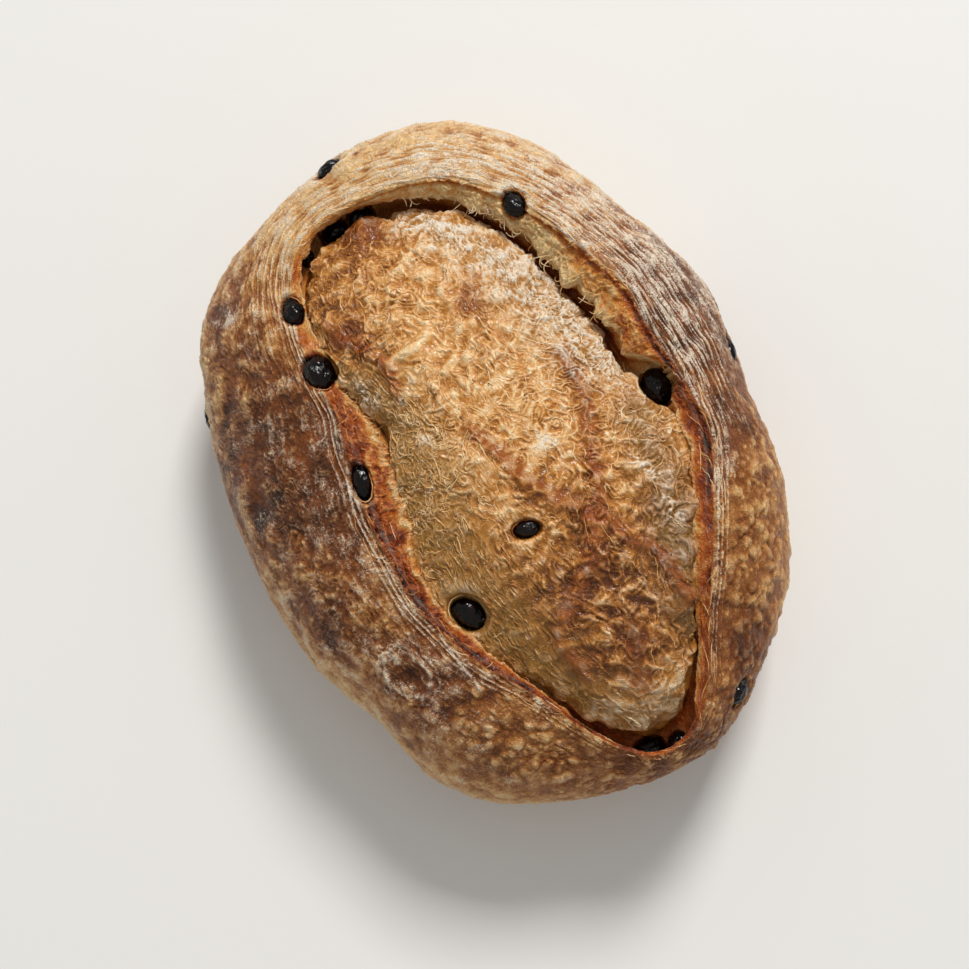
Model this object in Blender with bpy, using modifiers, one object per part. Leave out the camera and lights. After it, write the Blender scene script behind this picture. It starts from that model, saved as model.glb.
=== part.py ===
"""Raisin sourdough loaf: one baked oval solid, split open along its top, with raisins in its crust and crumb.

The long axis is X, up is Z, and the origin is at the middle of the underside. Tables and places are in
millimetres, and bearings are in degrees round the middle of the loaf, counted from +X towards +Y.
"""

import math
import random

import bmesh
import bpy
from mathutils import Euler, Matrix, Vector, noise

MM = 0.001

# Driving sizes of the loaf
LENGTH = 246.0
WIDTH = 187.0
CROWN = 89.0
WIDEST_HEIGHT = 31.0

# The plan is an oval with soft swells, each at a bearing, with its height and its half width in degrees
SWELLS = (
    (6, 2.0, 12), (43, 1.0, 12), (76, -4.5, 17), (122, -3.5, 12), (157, 3.5, 14), (191, -5.0, 7),
    (203, 1.0, 8), (220, 5.5, 14), (308, -4.5, 9), (322, 6.5, 12), (340, 3.0, 10), (350, -2.0, 6),
)

# The lip of the crust round the split: its distance from the middle and its height
LIP_RADIUS = {
    0: 119, 6: 118, 14: 106, 25: 88, 41: 77, 62: 70, 90: 62, 109: 64, 129: 67, 150: 77, 162: 87,
    178: 92, 195: 94, 202: 89, 210: 76, 219: 67, 231: 52, 245: 46, 270: 46, 292: 51, 312: 61,
    328: 72, 345: 88, 352: 104,
}
LIP_HEIGHT = {
    0: 59, 10: 67, 25: 76, 45: 81, 75: 84, 105: 86, 130: 85, 150: 82, 171: 78, 189: 74, 202: 72,
    219: 77, 240: 80, 292: 80, 319: 77, 339: 73, 350: 67,
}

# The torn ledge inside the lip: its width, and how far it drops from the lip to its ragged edge
LEDGE_WIDTH = {
    0: 1.5, 14: 4, 45: 5.5, 75: 6.5, 105: 8, 130: 7.5, 158: 6, 180: 1.2, 198: 1.5, 215: 8, 235: 7.5,
    262: 9, 285: 10, 300: 9, 325: 6, 345: 3,
}
LEDGE_DROP = {
    0: 4, 30: 4, 75: 6, 105: 8, 140: 7, 180: 5, 205: 3, 240: 4, 275: 4, 310: 4, 345: 3,
}

# The open gap between the ledge and the dome: its width, and its depth below the ledge
GAP_WIDTH = {
    0: 9, 12: 5, 30: 2.2, 60: 2.5, 90: 5, 120: 6.5, 150: 5.5, 170: 4.5, 181: 7.5, 191: 7.5, 202: 3,
    215: 2.0, 270: 2.2, 325: 2.2, 345: 4,
}
GAP_DEPTH = {
    0: 15, 12: 11, 30: 7, 60: 8, 85: 12, 120: 13, 150: 13, 172: 17, 190: 17, 203: 8, 215: 4,
    265: 5, 300: 5, 330: 6, 348: 10,
}

# How far the dome has fallen at its edge
DOME_FALL = {
    0: 27, 15: 17, 35: 10, 60: 9, 90: 12, 120: 12, 150: 13, 180: 17, 200: 19, 215: 13, 240: 9,
    270: 9, 300: 12, 325: 15, 345: 20,
}
DOME_ROUNDNESS = 2.2

# Raised folds of the dome: start, end, height and half width
FOLDS = (
    ((4, 36), (18, 25), 2.6, 5.0),
    ((18, 25), (45, 16), 3.0, 5.0),
    ((45, 16), (59, 32), 2.4, 4.5),
    ((59, 32), (80, 34), 2.0, 4.5),
)

# Lumps that stand out of the crust: bearing, height above the board, how far they stand out, half width
LUMPS = (
    (216, 47, 5.0, 10.0), (314, 60, 2.0, 9.0), (184, 47, 3.5, 9.0), (102, 48, 2.5, 10.0), (86, 52, 1.5, 8.0),
    (62, 55, 2.5, 9.0), (238, 24, 2.0, 11.0), (292, 30, 2.0, 12.0),
)

# The cage: spokes round the loaf, rings from the middle of the base to the widest line and over the shoulder,
# and the rounding, overhang and floor of the split
SPOKES = 44
BASE_SHARES = (0.34, 0.60, 0.74)
SIDE_RINGS = ((0.885, 5.5), (0.968, 16.0), (1.0, WIDEST_HEIGHT))
SHOULDER_TURNS = (0.26, 0.52, 0.78)
SHOULDER_SWEEP = math.radians(72)
DOME_SHARES = (0.84, 0.62, 0.40, 0.19)
CREST = 1.6
UNDERCUT = 0.6
LEDGE_SAG = 0.62
FLOOR_SHARE = 0.7
RELIEF = 1.5
RELIEF_PITCH = 15.0
RAGGED = 0.9
EDGE_SEED = 11
RELIEF_SEED = 1795794877

# A raisin is set in its socket with this much air all round it
SOCKET_AIR = 0.4
RAISIN_SEED = 5

# Raisins seen from above: X, Y, how far the middle is sunk, length, width, thickness, heading in degrees
TOP_RAISINS = {
    "raisin_left_big": (-45, -39, 0.6, 13.0, 11.0, 9.0, 8),
    "raisin_left_veiled": (-69, -39, 2.2, 10.5, 7.5, 7.0, 0),
    "raisin_top_lip": (-64, 43, 1.0, 9.5, 7.5, 7.0, -8),
    "raisin_dome_small": (34, -4, 1.2, 9.0, 5.5, 5.5, 75),
    "raisin_lower_left": (48, -33, 0.8, 12.5, 11.0, 9.0, 40),
    "raisin_left_torn": (-5, -43, 1.8, 12.5, 6.5, 7.0, -10),
}

# Raisins in the gap: bearing, how far outside the gap's middle line and above its floor the raisin's
# middle lies, length, width, thickness and heading
GAP_RAISINS = {
    "raisin_tip_upper": (182.0, 2.2, 7.5, 8.5, 8.0, 7.0, 95),
    "raisin_tip_lower": (188.5, 1.6, 6.0, 9.5, 8.0, 7.5, 80),
    "raisin_tip_dark": (197.5, 1.5, 6.0, 9.0, 6.0, 6.0, 60),
    "raisin_right_hollow": (79, 0.5, 4.5, 13.0, 10.0, 9.0, -15),
    "raisin_end_wide": (359, 2.2, 4.0, 13.0, 10.0, 9.0, 98),
    "raisin_end_narrow": (4.6, 2.4, 6.5, 9.0, 7.0, 7.0, 75),
}

# Raisins in the side: bearing, height above the board, how far the middle is sunk, and the three sizes
SIDE_RAISINS = {
    "raisin_lower_right": (17, 53, 1.4, 10.5, 9.5, 8.0),
    "raisin_right_mid": (85, 50, 2.2, 11.0, 8.0, 7.0),
    "raisin_right_upper": (103, 44, 2.2, 10.0, 8.0, 7.0),
    "raisin_left_low": (272, 28, 1.8, 10.0, 8.0, 7.0),
    "raisin_left_mid": (234, 35, 1.0, 12.0, 8.0, 7.0),
    "raisin_burst_upper": (182.5, 50, 2.6, 11.0, 9.0, 8.0),
    "raisin_burst_lower": (187.5, 40, 2.0, 10.0, 8.0, 7.0),
}
RAISIN_SIDES = 10
RAISIN_ROWS = 7
RAISIN_DENT = 0.13
DENTS_ALONG = 3.1

CRUST_COLOUR = (0.36, 0.19, 0.085, 1.0)
RAISIN_COLOUR = (0.012, 0.008, 0.010, 1.0)


def clear_scene():
    for item in list(bpy.data.objects):
        bpy.data.objects.remove(item, do_unlink=True)


def new_collection(name):
    group = bpy.data.collections.new(name)
    bpy.context.scene.collection.children.link(group)
    return group


def baked_material(name, colour, roughness, coat):
    material = bpy.data.materials.new(name)
    material.use_nodes = True
    shader = material.node_tree.nodes["Principled BSDF"]
    shader.inputs["Base Color"].default_value = colour
    shader.inputs["Roughness"].default_value = roughness
    shader.inputs["Metallic"].default_value = 0.0
    shader.inputs["Coat Weight"].default_value = coat
    material.diffuse_color = colour
    return material


def around(table, bearing):
    """The table's value at any bearing, on a smooth closed curve through its stops."""
    stops = sorted(table)
    count = len(stops)
    bearing %= 360
    right = sum(stop <= bearing for stop in stops)
    index = [(right + step) % count for step in (-2, -1, 0, 1)]
    turns = [(right + step) // count for step in (-2, -1, 0, 1)]
    at = [stops[i] + 360 * turn for i, turn in zip(index, turns)]
    value = [table[stops[i]] for i in index]
    span = at[2] - at[1]
    into = (bearing - at[1]) / span
    slope_in = (value[2] - value[0]) / (at[2] - at[0]) * span
    slope_out = (value[3] - value[1]) / (at[3] - at[1]) * span
    blend = into * into * (3 - 2 * into)
    ease_in = into * (1 - into) ** 2
    ease_out = into * into * (into - 1)
    return value[1] + (value[2] - value[1]) * blend + slope_in * ease_in + slope_out * ease_out


def bell(distance, half_width):
    """A soft bump that is 1 in its middle and fades to nothing past its half width."""
    return math.exp(-((distance / half_width) ** 2))


def turn_between(bearing, other):
    """The shorter turn from one bearing to another, in degrees."""
    return (bearing - other + 180) % 360 - 180


def outline(bearing):
    """Distance from the middle to the widest line of the crust."""
    angle = math.radians(bearing)
    across = WIDTH / 2 * math.cos(angle)
    along = LENGTH / 2 * math.sin(angle)
    oval = LENGTH * WIDTH / 4 / math.hypot(across, along)
    return oval + sum(high * bell(turn_between(bearing, at), wide) for at, high, wide in SWELLS)


def dome_edge(bearing):
    return around(LIP_RADIUS, bearing) - around(LEDGE_WIDTH, bearing) - around(GAP_WIDTH, bearing)


def fold_height(x, y):
    """Height that the folds add to the dome at a place."""
    total = 0.0
    for (ax, ay), (bx, by), high, wide in FOLDS:
        share = ((x - ax) * (bx - ax) + (y - ay) * (by - ay)) / ((bx - ax) ** 2 + (by - ay) ** 2)
        share = min(max(share, 0.0), 1.0)
        away = math.hypot(x - ax - share * (bx - ax), y - ay - share * (by - ay))
        total = max(total, high * bell(away, wide))
    return total


def dome_height(x, y):
    bearing = math.degrees(math.atan2(y, x))
    share = math.hypot(x, y) / dome_edge(bearing)
    return CROWN - around(DOME_FALL, bearing) * share**DOME_ROUNDNESS + fold_height(x, y)


def gap_floor(bearing):
    """Distance from the middle and height of the gap's floor."""
    inner = dome_edge(bearing)
    height = around(LIP_HEIGHT, bearing) - around(LEDGE_DROP, bearing) - around(GAP_DEPTH, bearing)
    return inner + around(GAP_WIDTH, bearing) / 2 + UNDERCUT, height


def lump_push(bearing, height, radius):
    """How far the lumps push the crust outwards at a place."""
    push = 0.0
    for at, level, out, wide in LUMPS:
        along = math.radians(turn_between(bearing, at)) * radius
        push += out * bell(math.hypot(along, height - level), wide)
    return push


def crust_points(bearing):
    """(distance, height) from the middle of the underside up to the crest of the lip."""
    out = outline(bearing)
    lip = around(LIP_RADIUS, bearing)
    lip_height = around(LIP_HEIGHT, bearing)
    points = [(out * share, 0.0) for share in BASE_SHARES]
    points += [(out * share, height) for share, height in SIDE_RINGS]
    rise = lip_height - CREST - WIDEST_HEIGHT
    reach = out - lip - CREST
    for share in (*SHOULDER_TURNS, 1.0):
        angle = share * SHOULDER_SWEEP
        inwards = (1 - math.cos(angle)) / (1 - math.cos(SHOULDER_SWEEP))
        upwards = math.sin(angle) / math.sin(SHOULDER_SWEEP)
        points.append((out - reach * inwards, WIDEST_HEIGHT + rise * upwards))
    return points


def split_points(bearing, ragged):
    """(distance, height) from the lip across the torn ledge and down to the gap's inner wall."""
    lip = around(LIP_RADIUS, bearing)
    lip_height = around(LIP_HEIGHT, bearing)
    drop = around(LEDGE_DROP, bearing)
    ledge = lip - around(LEDGE_WIDTH, bearing) + ragged
    ledge_height = lip_height - drop
    inner = dome_edge(bearing)
    floor, floor_height = gap_floor(bearing)
    half_gap = around(GAP_WIDTH, bearing) / 2
    foot = inner - CREST
    angle = math.radians(bearing)
    dome_foot = dome_height(foot * math.cos(angle), foot * math.sin(angle)) - CREST
    return [
        (lip, lip_height),
        (lip - CREST, lip_height - CREST),
        ((lip + ledge) / 2 - CREST / 2, lip_height - LEDGE_SAG * drop),
        (ledge, ledge_height),
        (ledge + CREST, ledge_height - 2 * CREST),
        (floor + half_gap, floor_height + CREST / 2),
        (floor - half_gap * FLOOR_SHARE, floor_height),
        (inner + CREST / 4, (floor_height + dome_foot) / 2),
        (foot, dome_foot),
    ]


def cage_rings():
    """Rings of the cage as lists of points, from the underside to the dome."""
    chance = random.Random(EDGE_SEED)
    spokes = []
    for spoke in range(SPOKES):
        bearing = 360 * spoke / SPOKES
        angle = math.radians(bearing)
        heading = Vector((math.cos(angle), math.sin(angle), 0.0))
        crust = crust_points(bearing)
        ragged = chance.uniform(-RAGGED, RAGGED)
        section = crust + split_points(bearing, ragged)
        column = []
        for ring, (radius, height) in enumerate(section):
            if ring >= len(BASE_SHARES):
                radius += lump_push(bearing, height, radius)
            column.append(heading * radius + Vector((0.0, 0.0, height)))
        inner = dome_edge(bearing)
        for share in DOME_SHARES:
            place = heading * inner * share
            place.z = dome_height(place.x, place.y)
            column.append(place)
        spokes.append(column)
    return [[spoke[ring] for spoke in spokes] for ring in range(len(spokes[0]))]


def roughened(place):
    """The place moved by the soft unevenness of baked dough. The flat underside stays flat."""
    lift = min(place.z / WIDEST_HEIGHT, 1.0)
    return place + noise.noise_vector(place / RELIEF_PITCH) * RELIEF * lift


def make_loaf(group, material):
    """The loaf as a loft of unlike sections round the middle, smoothed by subdivision."""
    mesh = bpy.data.meshes.new("loaf")
    form = bmesh.new()
    rings = cage_rings()
    loops = [[form.verts.new(roughened(place) * MM) for place in ring] for ring in rings]
    under = form.verts.new((0.0, 0.0, 0.0))
    crown = form.verts.new(Vector((0.0, 0.0, dome_height(0.0, 0.0))) * MM)
    for spoke in range(SPOKES):
        after = (spoke + 1) % SPOKES
        form.faces.new((under, loops[0][after], loops[0][spoke]))
        form.faces.new((crown, loops[-1][spoke], loops[-1][after]))
        for low, high in zip(loops, loops[1:]):
            form.faces.new((low[spoke], low[after], high[after], high[spoke]))
    bmesh.ops.recalc_face_normals(form, faces=form.faces)
    form.to_mesh(mesh)
    form.free()
    mesh.materials.append(material)
    mesh.shade_smooth()
    loaf = bpy.data.objects.new("loaf", mesh)
    group.objects.link(loaf)
    smooth = loaf.modifiers.new("Soft dough", "SUBSURF")
    smooth.levels = 1
    smooth.render_levels = 1
    return loaf


def raisin_mesh(name, sizes, seed, grow):
    """A dented oval of the three sizes. Grow makes it larger all round, for its socket."""
    mesh = bpy.data.meshes.new(name)
    form = bmesh.new()
    bmesh.ops.create_uvsphere(form, u_segments=RAISIN_SIDES, v_segments=RAISIN_ROWS, radius=0.5)
    bmesh.ops.rotate(form, verts=form.verts, matrix=Euler((0.0, math.pi / 2, 0.0)).to_matrix())
    for vert in form.verts:
        dent = 1 + RAISIN_DENT * noise.noise(vert.co * DENTS_ALONG + Vector((seed, seed, seed)))
        vert.co = Vector([part * dent * (size + grow) * MM for part, size in zip(vert.co, sizes)])
    form.to_mesh(mesh)
    form.free()
    mesh.shade_smooth()
    return mesh


def add_raisin(name, sizes, place, turn, seed, group, cutters, material):
    """A raisin at its place, and the larger copy of it that cuts its socket."""
    raisin = bpy.data.objects.new(name, raisin_mesh(name, sizes, seed, 0.0))
    raisin.data.materials.append(material)
    group.objects.link(raisin)
    cutter = bpy.data.objects.new(name + "_socket", raisin_mesh(name + "_socket", sizes, seed, 2 * SOCKET_AIR))
    cutters.objects.link(cutter)
    cutter.hide_render = True
    cutter.display_type = "WIRE"
    for item in (raisin, cutter):
        item.rotation_mode = "QUATERNION"
        item.rotation_quaternion = turn
        item.location = place * MM
    return raisin


def first_surface(loaf, start, towards):
    """Where a straight line first meets the loaf, and which way the surface faces there."""
    graph = bpy.context.evaluated_depsgraph_get()
    found, place, facing, _ = loaf.evaluated_get(graph).ray_cast(start * MM, towards)
    if not found:
        raise ValueError("a raisin lies beside the loaf")
    return place / MM, facing.normalized()


def lying_turn(facing, heading):
    """The turn that lays a raisin's thickness along a facing and its length close to a heading."""
    length = (heading - facing * heading.dot(facing)).normalized()
    side = facing.cross(length)
    return Matrix((length, side, facing)).transposed().to_quaternion()


def compass(degrees):
    angle = math.radians(degrees)
    return Vector((math.cos(angle), math.sin(angle), 0.0))


def placed_raisins(loaf):
    """Name, sizes, place and turn of each raisin."""
    up = Vector((0.0, 0.0, 1.0))
    for name, (x, y, sunk, *sizes, heading) in TOP_RAISINS.items():
        place, facing = first_surface(loaf, Vector((x, y, 2 * CROWN)), -up)
        yield name, sizes, place - facing * sunk, lying_turn(facing, compass(heading))
    for name, (bearing, outside, raised, *sizes, heading) in GAP_RAISINS.items():
        radius, floor = gap_floor(bearing)
        place = compass(bearing) * (radius + outside) + up * (floor + raised)
        yield name, sizes, place, lying_turn(up, compass(heading))
    for name, (bearing, height, sunk, *sizes) in SIDE_RAISINS.items():
        outwards = compass(bearing)
        place, facing = first_surface(loaf, outwards * LENGTH + up * height, -outwards)
        yield name, sizes, place - facing * sunk, lying_turn(facing, outwards.cross(up))


def main():
    clear_scene()
    noise.seed_set(RELIEF_SEED)
    parts = new_collection("raisin_loaf")
    sockets = new_collection("sockets")
    crust = baked_material("baked_crust", CRUST_COLOUR, 0.62, 0.0)
    fruit = baked_material("raisin_skin", RAISIN_COLOUR, 0.35, 0.3)
    loaf = make_loaf(parts, crust)
    for seed, (name, sizes, place, turn) in enumerate(list(placed_raisins(loaf)), RAISIN_SEED):
        add_raisin(name, sizes, place, turn, seed, parts, sockets, fruit)
    cut = loaf.modifiers.new("Raisin sockets", "BOOLEAN")
    cut.operation = "DIFFERENCE"
    cut.operand_type = "COLLECTION"
    cut.collection = sockets
    cut.solver = "EXACT"


main()
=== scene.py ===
"""Raisin sourdough loaf, baked free-form and split open along its top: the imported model's finished look.

The long axis is X and up is Z. Places on the loaf are in millimetres and bearings in degrees round its
middle, from +X towards +Y; each mesh is turned into metres when it is built.
"""

import math
import random
from itertools import product

import bpy
import numpy as np
from mathutils import Matrix, Vector, noise


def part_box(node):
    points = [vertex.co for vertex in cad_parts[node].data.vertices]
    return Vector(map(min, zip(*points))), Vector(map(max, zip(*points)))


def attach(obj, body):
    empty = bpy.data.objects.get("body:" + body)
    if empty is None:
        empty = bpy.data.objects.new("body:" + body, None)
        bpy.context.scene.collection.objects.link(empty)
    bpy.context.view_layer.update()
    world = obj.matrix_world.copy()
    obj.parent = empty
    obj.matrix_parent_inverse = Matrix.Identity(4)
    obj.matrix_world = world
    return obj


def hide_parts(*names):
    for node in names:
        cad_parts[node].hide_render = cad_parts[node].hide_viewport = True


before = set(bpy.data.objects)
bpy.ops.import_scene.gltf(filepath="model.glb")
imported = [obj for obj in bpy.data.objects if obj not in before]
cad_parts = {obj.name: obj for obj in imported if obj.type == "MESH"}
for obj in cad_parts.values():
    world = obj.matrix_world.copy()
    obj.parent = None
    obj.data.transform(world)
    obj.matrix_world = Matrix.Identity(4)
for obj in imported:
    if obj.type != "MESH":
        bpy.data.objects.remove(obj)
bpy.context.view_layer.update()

# Camera
# It hangs almost straight above the loaf, a little past the near end, with the long axis running down to
# the right.
EYE = Vector((0.0951, -0.0167, 0.5932))
AIM = Vector((0.00867, -0.00827, 0.045))
PICTURE_UP = Vector((-0.887, 0.4617, 0.0))
ahead = (AIM - EYE).normalized()
across = ahead.cross(PICTURE_UP).normalized()
camera_data = bpy.data.cameras.new("over_the_loaf")
camera_data.lens = 60.48
camera_data.sensor_width = 36.0
camera = bpy.data.objects.new("over_the_loaf", camera_data)
facing_down = Matrix((across, across.cross(ahead), -ahead)).transposed()
camera.matrix_world = Matrix.Translation(EYE) @ facing_down.to_4x4()
bpy.context.scene.collection.objects.link(camera)
bpy.context.scene.camera = camera

# Crust ring and its torn ledge
# Hard crust, deep brown to pale straw, dusted from the proving basket, wrinkled along its lip and blistered
# by steam. Inside the lip the dough tore in layers, and shows a sloping ledge of glossy amber crumb with a
# frayed edge, and the gap round the dome, darkened down its wall with painted shade.
MM = 0.001

# The form of the whole baked body, which the dome shares: one oval of dough that rose and tore open
LENGTH = 246.0
WIDTH = 187.0
CROWN = 89.0
WIDEST_HEIGHT = 31.0

# Swells of the oval: bearing, height and half width in degrees
SWELLS = (
    (6, 2.0, 12), (43, 1.0, 12), (76, -4.5, 17), (122, -3.5, 12), (157, 3.5, 14), (191, -5.0, 7),
    (203, 1.0, 8), (220, 5.5, 14), (308, -4.5, 9), (322, 6.5, 12), (340, 3.0, 10), (350, -2.0, 6),
)
LIP_RADIUS = {
    0: 119, 6: 118, 14: 106, 25: 88, 41: 77, 62: 70, 90: 62, 109: 64.5, 129: 69, 146: 78, 162: 88,
    178: 92, 195: 94, 202: 89, 210: 76, 219: 67, 231: 52, 245: 46, 270: 46, 292: 51, 312: 61,
    328: 72, 345: 88, 352: 104,
}
LIP_HEIGHT = {
    0: 59, 10: 67, 25: 76, 45: 81, 75: 84, 105: 86, 130: 85, 150: 82, 171: 78, 189: 74, 202: 72,
    219: 77, 240: 80, 292: 80, 319: 77, 339: 73, 350: 67,
}
LEDGE_WIDTH = {
    0: 1.5, 14: 5, 45: 6.5, 72: 8, 88: 10, 105: 11, 130: 10.5, 150: 9, 166: 5, 180: 1.2, 198: 1.5, 212: 7.5,
    232: 11, 267: 12.5, 290: 11.5, 307: 9, 316: 6.8, 326: 5, 338: 3.5,
}
LEDGE_DROP = {
    0: 4, 22: 2.5, 45: 2, 62: 3, 78: 6, 105: 7, 140: 6.5, 180: 5, 205: 2.4, 225: 1.2, 240: 1.2, 275: 1.5,
    310: 1.8, 345: 2.4,
}
GAP_WIDTH = {
    0: 8.5, 9: 5.5, 17: 2.0, 30: 0.9, 60: 0.9, 80: 2.2, 98: 2.6, 120: 3.5, 150: 3.0, 170: 4.2, 181: 7.5,
    191: 7.5, 202: 2.6, 212: 0.9, 228: 1.2, 240: 2.6, 254: 0.9, 325: 0.9, 343: 2.0, 351: 5.5,
}
GAP_DEPTH = {
    0: 15, 10: 9, 22: 2, 40: 0.8, 62: 1.2, 76: 7, 90: 12, 120: 13, 150: 13, 172: 17, 190: 17, 202: 5,
    212: 1.2, 226: 1.0, 240: 4.5, 254: 1.2, 300: 0.6, 335: 0.8, 350: 8,
}
DOME_FALL = {
    0: 27, 15: 17, 35: 10, 60: 9, 90: 12, 120: 12, 150: 13, 180: 17, 200: 19, 215: 13, 240: 9,
    270: 9, 300: 12, 325: 15, 345: 20,
}
DOME_ROUNDNESS = 2.2

# Folds of the dome: from, to, height and half width
FOLDS = (
    ((4, 36), (18, 25), 2.6, 5.0),
    ((18, 25), (45, 16), 3.0, 5.0),
    ((45, 16), (59, 32), 2.4, 4.5),
    ((59, 32), (80, 34), 2.0, 4.5),
)

# Lumps of the side: bearing, height above the base, how far they stand out, half width
LUMPS = (
    (216, 47, 5.0, 10.0), (314, 60, 2.0, 9.0), (184, 47, 3.5, 9.0), (102, 48, 2.5, 10.0), (86, 52, 1.5, 8.0),
    (62, 55, 2.5, 9.0), (238, 24, 2.0, 11.0), (292, 30, 2.0, 12.0),
)
SPOKES = 44
BASE_SHARES = (0.34, 0.60, 0.74)
SIDE_RINGS = ((0.885, 5.5), (0.968, 16.0), (1.0, WIDEST_HEIGHT))
SHOULDER_TURNS = (0.26, 0.52, 0.78)
SHOULDER_SWEEP = math.radians(72)
DOME_SHARES = (0.84, 0.62, 0.40, 0.19)
CREST = 1.6
UNDERCUT = 0.6
OPEN_DEPTH = 8.0
LEDGE_SAG = 0.62
FLOOR_SHARE = 0.7
RELIEF = 1.5
RELIEF_PITCH = 15.0
RAGGED = 0.9
EDGE_SEED = 11
RELIEF_SEED = 1795794877

# Rings of the cage, counted from the middle of the underside
RING_LIP = 11
RING_LEDGE = 14
RING_FLOOR = 17
RING_CROWN = 24


def around(profile, bearings):
    """A profile's values at bearings, on a smooth closed curve through its stops."""
    stops = np.array(sorted(profile), float)
    values = np.array([profile[stop] for stop in sorted(profile)], float)
    turned = np.mod(bearings, 360)
    index = np.searchsorted(stops, turned, side="right")[..., None] + np.array((-2, -1, 0, 1))
    at = stops[index % len(stops)] + 360 * (index // len(stops))
    value = values[index % len(stops)]
    span = at[..., 2] - at[..., 1]
    into = (turned - at[..., 1]) / span
    slope_in = (value[..., 2] - value[..., 0]) / (at[..., 2] - at[..., 0]) * span
    slope_out = (value[..., 3] - value[..., 1]) / (at[..., 3] - at[..., 1]) * span
    blend = into * into * (3 - 2 * into)
    easing = slope_in * into * (1 - into) ** 2 + slope_out * into * into * (into - 1)
    return value[..., 1] + (value[..., 2] - value[..., 1]) * blend + easing


def bell(distance, half_width):
    """A soft bump that is 1 in its middle and fades to nothing past its half width."""
    return np.exp(-((distance / half_width) ** 2))


def turn_between(bearings, other):
    """The turn from one bearing to others, from -180 to 180 degrees."""
    return np.mod(bearings - other + 180, 360) - 180


def fold_height(x, y):
    """How high the dome's folds stand at places in plan."""
    total = np.zeros_like(x)
    for (ax, ay), (bx, by), high, wide in FOLDS:
        share = ((x - ax) * (bx - ax) + (y - ay) * (by - ay)) / ((bx - ax) ** 2 + (by - ay) ** 2)
        share = np.clip(share, 0.0, 1.0)
        away = np.hypot(x - ax - share * (bx - ax), y - ay - share * (by - ay))
        total = np.maximum(total, high * bell(away, wide))
    return total


def dome_edge(bearings):
    """How far the dome's foot is from the middle."""
    return around(LIP_RADIUS, bearings) - around(LEDGE_WIDTH, bearings) - around(GAP_WIDTH, bearings)


def dome_height(x, y):
    """How high the dome stands at places in plan."""
    bearings = np.degrees(np.arctan2(y, x))
    share = np.hypot(x, y) / dome_edge(bearings)
    return CROWN - around(DOME_FALL, bearings) * share**DOME_ROUNDNESS + fold_height(x, y)


def section(bearings, ragged):
    """Lists of distances and heights of the cage's rings, from the underside to the top of the dome."""
    angle = np.radians(bearings)
    oval = LENGTH * WIDTH / 4 / np.hypot(WIDTH / 2 * np.cos(angle), LENGTH / 2 * np.sin(angle))
    out = oval + sum(high * bell(turn_between(bearings, at), wide) for at, high, wide in SWELLS)
    lip = around(LIP_RADIUS, bearings)
    lip_height = around(LIP_HEIGHT, bearings)
    drop = around(LEDGE_DROP, bearings)
    half_gap = around(GAP_WIDTH, bearings) / 2
    inner = dome_edge(bearings)
    ledge = lip - around(LEDGE_WIDTH, bearings) + ragged
    ledge_height = lip_height - drop
    floor = inner + half_gap + UNDERCUT
    floor_height = ledge_height - around(GAP_DEPTH, bearings)
    openness = np.clip(around(GAP_DEPTH, bearings) / OPEN_DEPTH, 0.1, 1.0)
    under = CREST * openness
    foot = inner - CREST
    dome_foot = dome_height(foot * np.cos(angle), foot * np.sin(angle)) - CREST * openness
    rings = [(out * 0, out * 0)]
    rings += [(out * share, out * 0) for share in BASE_SHARES]
    rings += [(out * share, out * 0 + height) for share, height in SIDE_RINGS]
    for share in (*SHOULDER_TURNS, 1.0):
        sweep = share * SHOULDER_SWEEP
        inwards = (1 - math.cos(sweep)) / (1 - math.cos(SHOULDER_SWEEP))
        upwards = math.sin(sweep) / math.sin(SHOULDER_SWEEP)
        radius = out - (out - lip - CREST) * inwards
        rings.append((radius, WIDEST_HEIGHT + (lip_height - CREST - WIDEST_HEIGHT) * upwards))
    rings += [
        (lip, lip_height),
        (lip - CREST, lip_height - CREST),
        ((lip + ledge) / 2 - CREST / 2, lip_height - LEDGE_SAG * drop),
        (ledge, ledge_height),
        (ledge + under, ledge_height - 2 * under),
        (floor + half_gap, floor_height + under / 2),
        (floor - half_gap * FLOOR_SHARE, floor_height),
        (inner + CREST / 4, (floor_height + dome_foot) / 2),
        (foot, dome_foot),
    ]
    for share in (*DOME_SHARES, 0.0):
        radius = inner * share
        rings.append((radius, dome_height(radius * np.cos(angle), radius * np.sin(angle))))
    return rings


def cage_of_rings():
    """The cage as an array of rings by spokes by places, with one mirrored ring beyond each pole."""
    bearings = 360 * np.arange(SPOKES) / SPOKES
    chance = random.Random(EDGE_SEED)
    ragged = np.array([chance.uniform(-RAGGED, RAGGED) for _ in range(SPOKES)])
    rings = []
    for number, (radius, height) in enumerate(section(bearings, ragged)):
        push = np.zeros(SPOKES)
        for at, level, out, wide in LUMPS:
            along = np.radians(turn_between(bearings, at)) * radius
            push += out * bell(np.hypot(along, height - level), wide)
        if len(BASE_SHARES) < number < RING_CROWN - len(DOME_SHARES):
            radius = radius + push
        angle = np.radians(bearings)
        ring = np.stack((radius * np.cos(angle), radius * np.sin(angle), height), axis=-1)
        for place in ring:
            lift = min(place[2] / WIDEST_HEIGHT, 1.0)
            if 0 < number < RING_CROWN:
                place += np.array(noise.noise_vector(Vector(place) / RELIEF_PITCH)) * RELIEF * lift
        rings.append(ring)
    half = SPOKES // 2
    return np.stack([np.roll(rings[1], half, axis=0), *rings, np.roll(rings[-2], half, axis=0)])


noise.seed_set(RELIEF_SEED)
cage = cage_of_rings()


def soft_weights(into):
    """Weights of the four rings or spokes next to a place, which round the cage off as dough does."""
    rest = 1 - into
    return np.stack((
        rest**3 / 6,
        (3 * into**3 - 6 * into**2 + 4) / 6,
        (3 * rest**3 - 6 * rest**2 + 4) / 6,
        into**3 / 6,
    ))


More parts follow.
